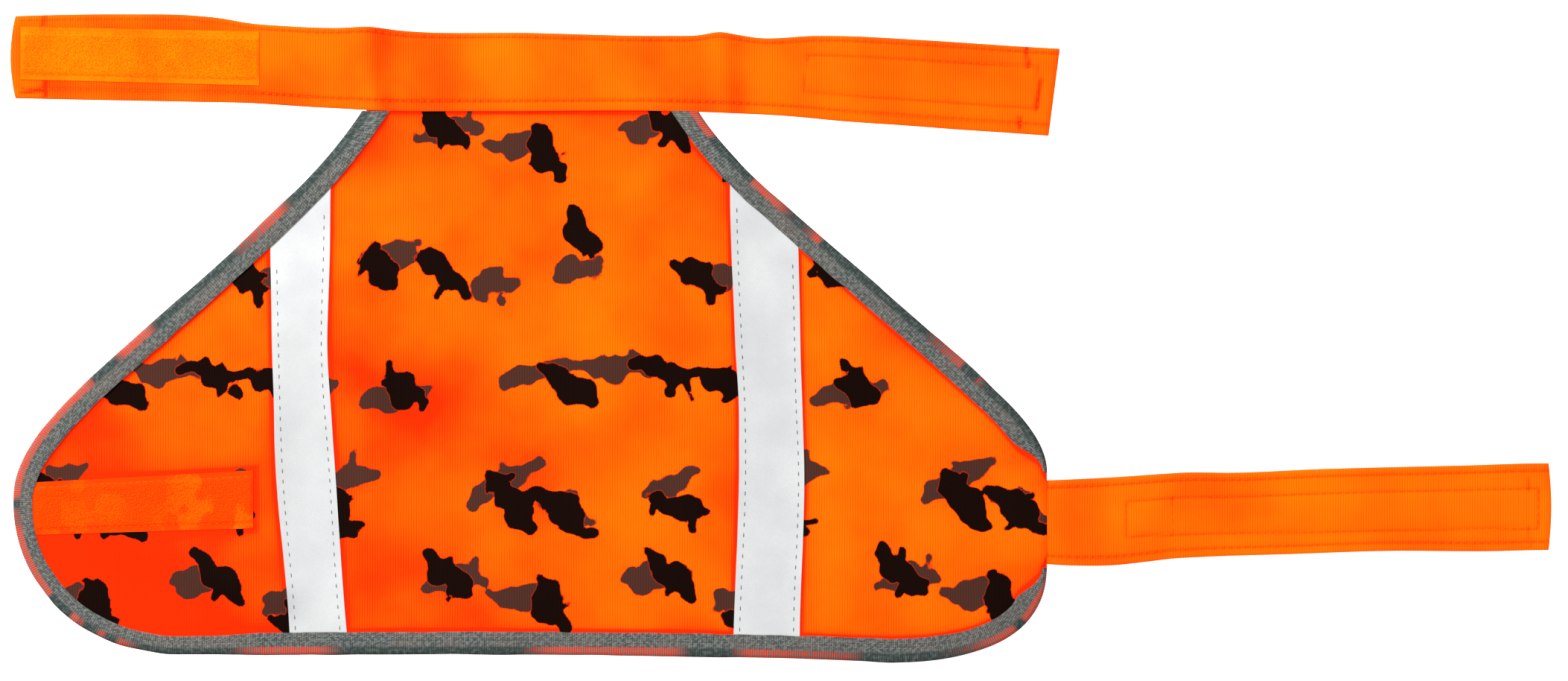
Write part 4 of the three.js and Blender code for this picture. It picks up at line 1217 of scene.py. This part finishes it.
def tube_mesh(name, paths, sideways, radii, sides, material):
    """One object that holds all the tubes."""
    points, quads, caps = tubes(paths, sideways, np.asarray(radii, float), sides)
    mesh = bpy.data.meshes.new(name)
    mesh.from_pydata(to_model(points).tolist(), [], quads[:, ::-1].tolist() + caps[:, ::-1].tolist())
    mesh.polygons.foreach_set("use_smooth", np.ones(len(mesh.polygons), bool))
    mesh.materials.append(material)
    mesh.update()
    piece = bpy.data.objects.new(name, mesh)
    bpy.context.scene.collection.objects.link(piece)
    print(name, len(paths), "tubes,", len(mesh.polygons), "faces")
    return piece


# %% [markdown]
# Thread is two or three strands twisted together. The finish draws the twist as slanted bands on the
# object's own coordinates.

# %% Thread finish
def make_thread(name, light, dark, glow):
    """Twisted thread: slanted bands of a lighter and a darker tone."""
    material, add, shader = start_material(name, 0.6, glow)
    place = add("ShaderNodeTexCoord").outputs["Object"]
    bands = add("ShaderNodeTexWave", {"Vector": place, "Scale": 700.0, "Distortion": 1.5},
                bands_direction="DIAGONAL").outputs["Fac"]
    finish_material(shader, blend_colour(add, bands, light, dark), bands, 0.00005, glow > 0)
    return material


# The orange thread has the same painted glow as the orange cloth, which keeps its shade red.
orange_thread = make_thread("orange thread", (1.0, 0.1, 0.0), (0.95, 0.045, 0.0), 0.22)
grey_thread = make_thread("grey thread", (0.2, 0.19, 0.17), (0.07, 0.066, 0.06), 0.0)
pale_thread = make_thread("pale grey thread", (0.22, 0.225, 0.215), (0.11, 0.115, 0.11), 0.0)
print("threads", orange_thread.name, grey_thread.name, pale_thread.name)


# %% [markdown]
# A sewing machine leaves short lengths of thread that dive into the cloth at both ends. An Array
# modifier on a curve could repeat one stitch, but each stitch here also follows the height of the
# cloth under it, so the middle lines of a whole row are worked out together from its path.

# %% A row of stitches along a path
STITCH_SHARE = 0.78


def stitch_row(name, path, surface, pitch, radius, material, sink=0.12, weave=0.0,
               share=STITCH_SHARE):
    """Stitches along a path: each is a share of the pitch long and arches out of the cloth.

    Height = surface + radius * (1 - (2t - 1)^4) - sink. weave slants each stitch in mm."""
    path = np.array(path, float)
    s = along(path)
    count = max(int(s[-1] / pitch), 1)
    step = s[-1] / count
    t = np.linspace(0, 1, 7)
    at = (np.arange(count)[:, None] + (1 - share) / 2 + t * share) * step
    x, y = np.interp(at, s, path[:, 0]), np.interp(at, s, path[:, 1])
    run = np.stack([x[:, -1] - x[:, 0], y[:, -1] - y[:, 0]], axis=1)
    run /= np.linalg.norm(run, axis=1, keepdims=True)
    side = np.stack([-run[:, 1], run[:, 0], run[:, 0] * 0], axis=1)
    slant = weave * (t - 0.5)[None, :]
    x, y = x + side[:, :1] * slant, y + side[:, 1:2] * slant
    z = surface(x, y) + radius * (1 - (2 * t - 1) ** 4) * 1.4 - sink
    paths = np.stack([x, y, z + 0 * x], axis=2)
    radii = radius * np.array([0.45, 0.85, 1.0, 1.0, 1.0, 0.85, 0.45])
    return tube_mesh(name, paths, side, radii, 6, material)


def path_between(x_start, x_end, knots, inset):
    """Points along an edge curve moved by inset in y."""
    x = np.linspace(x_start, x_end, 160)
    return np.stack([x, curve_at(knots, x) + inset], axis=1)


# %% [markdown]
# The neck strap has one row beside its fold and one that closes its lower edge. Both are made in the
# same three lengths as the cloth. The box on the right arm is the row that holds the hook pad
# underneath.

# %% Rows on the neck strap
seam_rows = [
    ("neck_closing_row_middle", NECK_SPLIT_LEFT, NECK_SPLIT_RIGHT, NECK_LOW, CLOSING_ROW, spine_bend,
     ("neck_closing_seam_left", "neck_closing_seam_right")),
    ("neck_fold_row_middle", NECK_SPLIT_LEFT, NECK_SPLIT_RIGHT, NECK_HIGH, -FOLD_ROW, spine_bend,
     ("neck_fold_seam_left", "neck_fold_seam_right")),
    ("neck_closing_row_left", NECK_SPLIT_LEFT, -192.5, NECK_LOW, CLOSING_ROW, neck_left_bend,
     ("neck_arm_left_closing_seam",)),
    ("neck_fold_row_left", NECK_SPLIT_LEFT, -192.5, NECK_HIGH, -FOLD_ROW, neck_left_bend,
     ("neck_arm_left_fold_seam",)),
    ("neck_closing_row_right", NECK_SPLIT_RIGHT, 194.0, NECK_LOW, CLOSING_ROW, neck_right_bend,
     ("neck_arm_right_closing_seam",)),
    ("neck_fold_row_right", NECK_SPLIT_RIGHT, 196.5, NECK_HIGH, -FOLD_ROW, neck_right_bend,
     ("neck_arm_right_fold_seam",)),
]
for name, start, stop, knots, inset, bend, nodes in seam_rows:
    row = stitch_row(name, path_between(start, stop, knots, inset), neck_top, 2.6, 0.15,
                     orange_thread, 0.1)
    bend(row)
    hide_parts(*nodes)

neck_box_row = stitch_row("neck_hook_box_row", NECK_BOX, neck_top, 2.9, 0.16,
                          orange_thread)
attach(neck_box_row, "neck_arm_right")
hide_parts("neck_hook_seam")

# %% [markdown]
# The belly strap has the same two rows along its edges, a long box that holds its hook pad, a short
# row across that box, and the row that joins the strap to the body.

# %% Rows on the belly strap
for name, knots, inset, node in (
    ("belly_closing_row", BELLY_EDGE_LOW, BELLY_ROWS[0], "belly_strap_closing_seam"),
    ("belly_fold_row", BELLY_EDGE_HIGH, BELLY_ROWS[1], "belly_strap_fold_seam"),
):
    row = stitch_row(name, path_between(197.5, 382.0, knots, inset), belly_top, 2.9, 0.17,
                     orange_thread)
    belly_bend(row)
    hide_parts(node)

belly_box_row = stitch_row("belly_hook_box_row", BELLY_BOX, belly_top, 2.9, 0.16,
                           orange_thread)
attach(belly_box_row, "belly_strap")
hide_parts("belly_hook_seam")
belly_cross_row = stitch_row("belly_cross_row", [(241.2, 58.5), (241.8, 45.5)], belly_top, 2.9, 0.16,
                             orange_thread)
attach(belly_cross_row, "belly_strap")
join_row = stitch_row("belly_join_row", [(190.6, 36.4), (190.8, 64.6)], lambda x, y: lay(x, y) - 0.08,
                      2.9, 0.15, orange_thread, 0.0)
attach(join_row, "right_half")
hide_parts("belly_join_seam")

# %% [markdown]
# The binding is held by two rows close together, in a paler thread that stands out against the grey.
# The tapes are sewn with a dark grey thread, in longer stitches.

# %% Rows on the binding and the tapes
def binding_face(x, y):
    """Height of the binding's face where its rows run."""
    return BINDING_TOP + panel_lay(x, y)


def binding_row(name, path, widths, share):
    """A row at a share of the binding's flat width, in from the edge."""
    row_path = path + inward_normals(path) * (1.14 + share * (widths - 1.2))[:, None]
    return stitch_row(name, row_path, binding_face, 2.3, 0.15, pale_thread, 0.13, 0.35)


for label, share in (("inner", 0.76), ("outer", 0.5)):
    row = binding_row(f"binding_row_long_{label}", long_path, long_widths, share)
    spine_bend(row)
    if label == "inner":
        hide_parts("binding_left_seam", "binding_right_lower_seam")
    row = binding_row(f"binding_row_shoulder_{label}", short_path, short_widths, share)
    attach(row, "right_half")
    if label == "inner":
        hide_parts("binding_right_upper_seam")


def tape_row(name, knots, column, inset, y_start, y_end, body, node):
    """A row beside one edge of a tape."""
    y = np.linspace(y_start, y_end, 120)
    x = curve_at(np.array(knots, float)[:, [0, column]], y) + inset
    face = TAPE_MIDDLE + TAPE_CLOTH / 2
    row = stitch_row(name, np.stack([x, y], axis=1), lambda a, b: face + panel_lay(a, b), 3.9, 0.14,
                     grey_thread, 0.1, 0.0, 0.46)
    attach(row, body)
    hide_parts(node)


tape_row("tape_left_row_outer", LEFT_TAPE, 1, 2.3, 8.2, 146.0, "left_half", "tape_left_outer_seam")
tape_row("tape_left_row_inner", LEFT_TAPE, 2, -2.4, 8.2, 166.5, "left_half", "tape_left_inner_seam")
tape_row("tape_right_row_inner", RIGHT_TAPE, 1, 2.3, 7.6, 169.0, "right_half", "tape_right_inner_seam")
tape_row("tape_right_row_outer", RIGHT_TAPE, 2, -2.3, 7.6, 148.0, "right_half", "tape_right_outer_seam")

# %% [markdown]
# ## Hook and loop pads
# A loop pad is a woven strip with a field of tiny curled loops and a smooth selvedge along its edges.
# A hook pad is the same strip with rows of stiff hooks. Both are real shapes here: the strip is a
# thin slab, and the loops and hooks are tubes of a few faces each.

# %% Pad finish
def make_pile_finish(name, light, dark, grain_scale):
    """Woven strip: fine crossed threads with a blotchy lighter and darker orange."""
    # The pad finishes have a weaker painted glow, which keeps their shade red.
    material, add, shader = start_material(name, 0.9, 0.16)
    place = add("ShaderNodeTexCoord").outputs["Object"]
    grain = add("ShaderNodeTexNoise", {"Vector": place, "Scale": grain_scale, "Detail": 4.0}).outputs[0]
    patch = add("ShaderNodeTexNoise", {"Vector": place, "Scale": 55.0, "Detail": 3.0}).outputs[0]
    red = add("ShaderNodeAttribute", attribute_name="tone_and_painted_shade").outputs["Fac"]
    depth = maths(add, "ADD", ramp(add, grain, 0.35, 0.7, 0.0, 0.3), ramp(add, patch, 0.4, 0.65, 0.0, 0.2))
    depth = maths(add, "MINIMUM", maths(add, "ADD", depth, red), 1.0)
    finish_material(shader, blend_colour(add, depth, light, dark), grain, 0.00015)
    return material


pile_finish = make_pile_finish("orange pile strip", (1.0, 0.128, 0.0), (0.95, 0.03, 0.0), 1500.0)
# The loops get a lighter copy of the pile colour: painted light that offsets the shade on their thin tubes.
lightened_loop_finish = make_pile_finish("orange pile loops lightened", (1.0, 0.19, 0.0), (0.98, 0.1, 0.0), 1500.0)
hook_finish = make_pile_finish("orange hooks", (0.95, 0.13, 0.002), (0.8, 0.05, 0.001), 900.0)
print("pad finishes", pile_finish.name, lightened_loop_finish.name, hook_finish.name)


# %% [markdown]
# The woven ground of a pad is a thin slab between four corners. Its field stands higher than its
# selvedge, and fine noise roughens it, so the loops stand on an uneven ground and not on a plate.

# %% The strip of a pad
PAD_BASE = 0.4


def pad_point(corners, u, v):
    """Bilinear place between four corners: end low, far low, far high, end high."""
    (ax, ay), (bx, by), (cx, cy), (dx, dy) = corners
    x = (ax * (1 - u) + bx * u) * (1 - v) + (dx * (1 - u) + cx * u) * v
    y = (ay * (1 - u) + by * u) * (1 - v) + (dy * (1 - u) + cy * u) * v
    return x, y


def pad_strip(name, corners, bottom, field, selvedge, material, seed, thin_end=0.0):
    """A thin slab on the surface bottom(x, y), raised in its field and low along its long edges."""
    rows, cols = 181, 46
    u, v = np.linspace(0, 1, rows)[:, None], np.linspace(0, 1, cols)[None, :]
    x, y = pad_point(corners, u, v)
    width = math.dist(corners[0], corners[3])
    length = math.dist(corners[0], corners[1])
    edge = np.minimum(v, 1 - v) * width
    from_ends = np.minimum(u, 1 - u) * length
    raised = ease(edge, selvedge * 0.7, selvedge * 1.3) * ease(from_ends, 0.2, 0.9)
    fuzz = 0.14 * noise(x, y * 1.6, 0.9, seed) + 0.12 * noise(x, y, 2.1, seed + 1)
    thin = ease(u * length, thin_end * 0.8, thin_end * 1.3) if thin_end else 1.0
    low = bottom(x, y) + 0.03
    top = low + PAD_BASE * 0.8 + (field + fuzz) * raised * thin
    xy = np.stack([x, y], axis=2)
    face = np.concatenate([xy, top[:, :, None]], axis=2)
    back = np.concatenate([xy, (low + 0 * top)[:, :, None]], axis=2)
    masks = {"tone_and_painted_shade": pad_colour_depth(x, y)}
    piece = slab(name, face, back, xy * MM, masks, material)
    return piece


def pad_colour_depth(x, y):
    """Deeper colour of the pads: random patches, and much deeper on the pads below y = 100, less so from x
    = -150 towards the spine.
    """
    patches = ease(noise(x, y, 13, 71) * 0.6 + noise(x, y, 5, 72) * 0.4, 0.45, 0.62)
    return 0.12 * patches + (0.75 + 0.5 * patches - 0.3 * ease(x, -150, -110)) * (y < 100)


# %% [markdown]
# The loops of loop tape are brushed until they lean every way. A hair system could scatter them, but
# tubes on a jittered grid are plain mesh, so they are exported like every other piece.

# %% The loops of a loop pad
def loop_pile(name, corners, bottom, margin, count_across, seed, keep_from=0.0):
    """Curled loops on a jittered grid. Each is an arch, height * sin(pi t), leaning its own way."""
    rng = np.random.default_rng(seed)
    width = math.dist(corners[0], corners[3])
    length = math.dist(corners[0], corners[1])
    cols = count_across
    rows = int(cols * length / width)
    u, v = np.meshgrid(np.arange(rows) + 0.5, np.arange(cols) + 0.5, indexing="ij")
    u = (u + rng.uniform(-0.45, 0.45, u.shape)) / rows
    v = (v + rng.uniform(-0.45, 0.45, v.shape)) / cols
    u = (margin * 0.55 + keep_from) / length + u * (1 - (margin * 1.1 + keep_from) / length)
    v = margin / width + v * (1 - 2 * margin / width)
    x, y = (g.ravel() for g in pad_point(corners, u, v))
    turn = rng.uniform(0, 2 * math.pi, x.size)
    span, height = rng.uniform(0.45, 0.85, x.size), rng.uniform(0.3, 0.62, x.size)
    lean = rng.uniform(-0.3, 0.3, x.size)
    t = np.linspace(0, 1, 6)
    reach = (t - 0.5)[None] * span[:, None]
    rise = np.sin(math.pi * t)[None]
    dx, dy = np.cos(turn)[:, None], np.sin(turn)[:, None]
    sway = lean[:, None] * rise
    px, py = x[:, None] + reach * dx - sway * dy, y[:, None] + reach * dy + sway * dx
    pz = bottom(px, py) + height[:, None] * rise - 0.05
    side = np.stack([-np.sin(turn), np.cos(turn), turn * 0], axis=1)
    piece = tube_mesh(name, np.stack([px, py, pz], axis=2), side, [0.075] * 6, 4,
                      lightened_loop_finish)
    mask = piece.data.attributes.new("tone_and_painted_shade", "FLOAT", "POINT")
    mask.data.foreach_set("value", np.repeat(pad_colour_depth(x, y), 6 * 4 + 2).astype(np.float32))
    return piece


PILE_LIFT = 0.8
NECK_LOOP = [(-191.6, 216.3), (-101.9, 214.0), (-101.9, 234.3), (-191.6, 236.1)]
pad = pad_strip("neck_loop_strip", NECK_LOOP, neck_top, 0.42, 2.4, pile_finish, 81)
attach(pad, "neck_arm_left")
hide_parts("neck_loop_pad")
pile = loop_pile("neck_loop_pile", NECK_LOOP, lambda x, y: neck_top(x, y) + PILE_LIFT, 2.9, 24, 82)
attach(pile, "neck_arm_left")

BELLY_LOOP = [(-190.6, 45.0), (-104.2, 47.6), (-104.2, 69.3), (-190.6, 64.6)]
PANEL_FACE = PANEL_MIDDLE + PANEL_CLOTH / 2


def panel_face(x, y):
    """Height of the body panel's face."""
    return PANEL_FACE + panel_lay(x, y)


pad = pad_strip("belly_loop_strip", BELLY_LOOP, panel_face, 0.42, 2.2, pile_finish, 83, 4.5)
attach(pad, "left_half")
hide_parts("belly_loop_pad")
pile = loop_pile("belly_loop_pile", BELLY_LOOP, lambda x, y: panel_face(x, y) + PILE_LIFT, 2.6, 23, 84, 4.0)
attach(pile, "left_half")


# %% [markdown]
# Both loop pads are sewn down along the inside of their selvedge. The neck pad's row goes all the way
# round. The belly pad's row stays open at its outer end, which lies under the binding.

# %% Rows round the loop pads
SELVEDGE_LIFT = 0.36


def inset_box(corners, inset):
    """The four corners moved in by inset along both directions, closed into a loop."""
    width = math.dist(corners[0], corners[3])
    length = math.dist(corners[0], corners[1])
    a, b = inset / length, inset / width
    return [pad_point(corners, u, v) for u, v in ((a, b), (1 - a, b), (1 - a, 1 - b), (a, 1 - b), (a, b))]


row = stitch_row("neck_loop_row", inset_box(NECK_LOOP, 2.2), lambda x, y: neck_top(x, y) + SELVEDGE_LIFT,
                 2.7, 0.15, orange_thread)
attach(row, "neck_arm_left")
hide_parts("neck_loop_seam")
belly_loop_path = inset_box(BELLY_LOOP, 2.0)[:-1]
belly_loop_path = [belly_loop_path[3], belly_loop_path[2], belly_loop_path[1], belly_loop_path[0]]
belly_loop_path[0] = (belly_loop_path[0][0] + 4.5, belly_loop_path[0][1] + 0.3)
belly_loop_path[3] = (belly_loop_path[3][0] + 4.5, belly_loop_path[3][1] + 0.1)
row = stitch_row("belly_loop_row", belly_loop_path, lambda x, y: panel_face(x, y) + SELVEDGE_LIFT,
                 2.7, 0.15, orange_thread)
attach(row, "left_half")
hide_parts("belly_loop_seam")


# %% [markdown]
# The hook pads face down, so they are seen when a strap is turned over. A hook rises from the strip,
# leans over and points back: three quarters of a circle on a short stem, with rows facing in
# alternate directions.

# %% Hook pads
def hook_pad(name, corners, bottom, body, node):
    """A thin strip under a strap, with its hooks hanging below it."""
    rows, cols = 91, 15
    u, v = np.linspace(0, 1, rows)[:, None], np.linspace(0, 1, cols)[None, :]
    x, y = pad_point(corners, u, v)
    top = bottom(x, y) - 0.04
    xy = np.stack([x, y], axis=2)
    rib = 0.04 * np.cos(v * 60) + 0 * u
    strip = slab(name + "_strip", np.concatenate([xy, top[:, :, None]], axis=2),
                 np.concatenate([xy, (top - 0.4 + rib)[:, :, None]], axis=2), xy * MM,
                 {"tone_and_painted_shade": pad_colour_depth(x, y)}, hook_finish)
    length, width = math.dist(corners[0], corners[1]), math.dist(corners[0], corners[3])
    gu, gv = np.meshgrid(np.arange(int(length / 1.75)) + 0.5, np.arange(11) + 0.5, indexing="ij")
    facing = np.where(gv.astype(int) % 2 == 0, 1.0, -1.0).ravel()
    gu = (2.0 + gu * (length - 4.0) / gu.shape[0]) / length
    gv = (1.8 + gv * (width - 3.6) / 11) / width
    hx, hy = (g.ravel() for g in pad_point(corners, gu, gv))
    stem = np.array([[0, 0.35], [0, 0.05], [0.02, -0.2], [0.14, -0.42], [0.34, -0.44], [0.44, -0.26]])
    px = hx[:, None] + facing[:, None] * stem[:, 0] * 1.1
    py = hy[:, None] + 0 * px
    pz = (bottom(hx, hy) - 0.5)[:, None] + stem[:, 1] * 0.75
    side = np.tile([0.0, 1.0, 0.0], (hx.size, 1))
    radii = [0.13, 0.11, 0.1, 0.1, 0.1, 0.07]
    hooks = tube_mesh(name + "_hooks", np.stack([px, py, pz], axis=2), side, radii, 4,
                      hook_finish)
    for piece in (strip, hooks):
        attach(piece, body)
    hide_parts(node)


NECK_HOOK = [(102.0, 209.5), (191.6, 203.9), (192.2, 223.6), (103.3, 229.4)]
hook_pad("neck_hook", NECK_HOOK, lambda x, y: neck_base(x) + lay(x, y), "neck_arm_right",
         "neck_hook_pad")
BELLY_HOOK = [(225.4, 42.2), (379.0, 45.6), (378.6, 65.6), (225.0, 62.2)]
hook_pad("belly_hook", BELLY_HOOK, lambda x, y: belly_base(x) + lay(x, y), "belly_strap",
         "belly_hook_pad")

# %% [markdown]
# ## Floor, light and camera
# The vest is shown flat over a plain white floor under soft light, and the camera looks straight
# down. When the vest is worn, its left half and its straps hang down, so the floor is set lower than
# the longest of them reaches, and no pose goes through it. It glows a little so that it stays white
# far from the lamps.

# %% The floor
FLOOR_SIZE = 10.0
FLOOR_DROP = spine_x - cad_box[0][0] + 0.045


def make_floor():
    """A large white square, z = -FLOOR_DROP."""
    mesh = bpy.data.meshes.new("floor")
    corners = np.array([(-1, -1, 0), (1, -1, 0), (1, 1, 0), (-1, 1, 0)]) * FLOOR_SIZE - (0, 0, FLOOR_DROP)
    mesh.from_pydata(corners.tolist(), [], [(0, 1, 2, 3)])
    floor = bpy.data.objects.new("floor", mesh)
    bpy.context.scene.collection.objects.link(floor)
    material, add, shader = start_material("floor white", 0.9)
    place = add("ShaderNodeTexCoord").outputs["Object"]
    grain = add("ShaderNodeTexNoise", {"Vector": place, "Scale": 40.0})
    colour = blend_colour(add, grain.outputs[0], (0.9, 0.9, 0.9), (0.86, 0.86, 0.86))
    finish_material(shader, colour, grain.outputs[0], 0.0001)
    shader.inputs["Emission Strength"].default_value = 0.5
    mesh.materials.append(material)


make_floor()
print("floor", round(FLOOR_DROP, 3), "m below the vest")


# %% [markdown]
# A large lamp at the upper left gives the soft shading, a weak one lifts the other side, and the
# white world fills the rest. An orthographic camera keeps every size true across the frame.

# %% Light and camera
def soft_light(name, place, aim, size, watts):
    """A square area light at place, turned to face aim."""
    lamp = bpy.data.lights.new(name, "AREA")
    lamp.size, lamp.energy = size, watts
    holder = bpy.data.objects.new(name, lamp)
    holder.location = place
    holder.rotation_euler = (Vector(aim) - Vector(place)).to_track_quat("-Z", "Y").to_euler()
    bpy.context.scene.collection.objects.link(holder)


scene = bpy.context.scene
world = bpy.data.worlds.new("studio")
world.use_nodes = True
world.node_tree.nodes["Background"].inputs[0].default_value = (1.0, 1.0, 1.0, 1.0)
world.node_tree.nodes["Background"].inputs[1].default_value = 0.6
scene.world = world
soft_light("key", (-0.95, 0.75, 0.95), (0, 0, 0), 0.6, 46)
soft_light("fill", (0.9, -0.4, 1.4), (0, 0, 0), 1.2, 6)
scene.view_settings.view_transform = "Standard"

FRAME_MARGIN = 1.0202
CAMERA_PLACE = (0.00098, -0.00081, 1.5)
low_corner, high_corner = cad_box
camera_data = bpy.data.cameras.new("camera")
camera_data.type = "ORTHO"
camera_data.ortho_scale = (high_corner[0] - low_corner[0]) * FRAME_MARGIN
camera = bpy.data.objects.new("camera", camera_data)
camera.location = CAMERA_PLACE
scene.collection.objects.link(camera)
scene.camera = camera
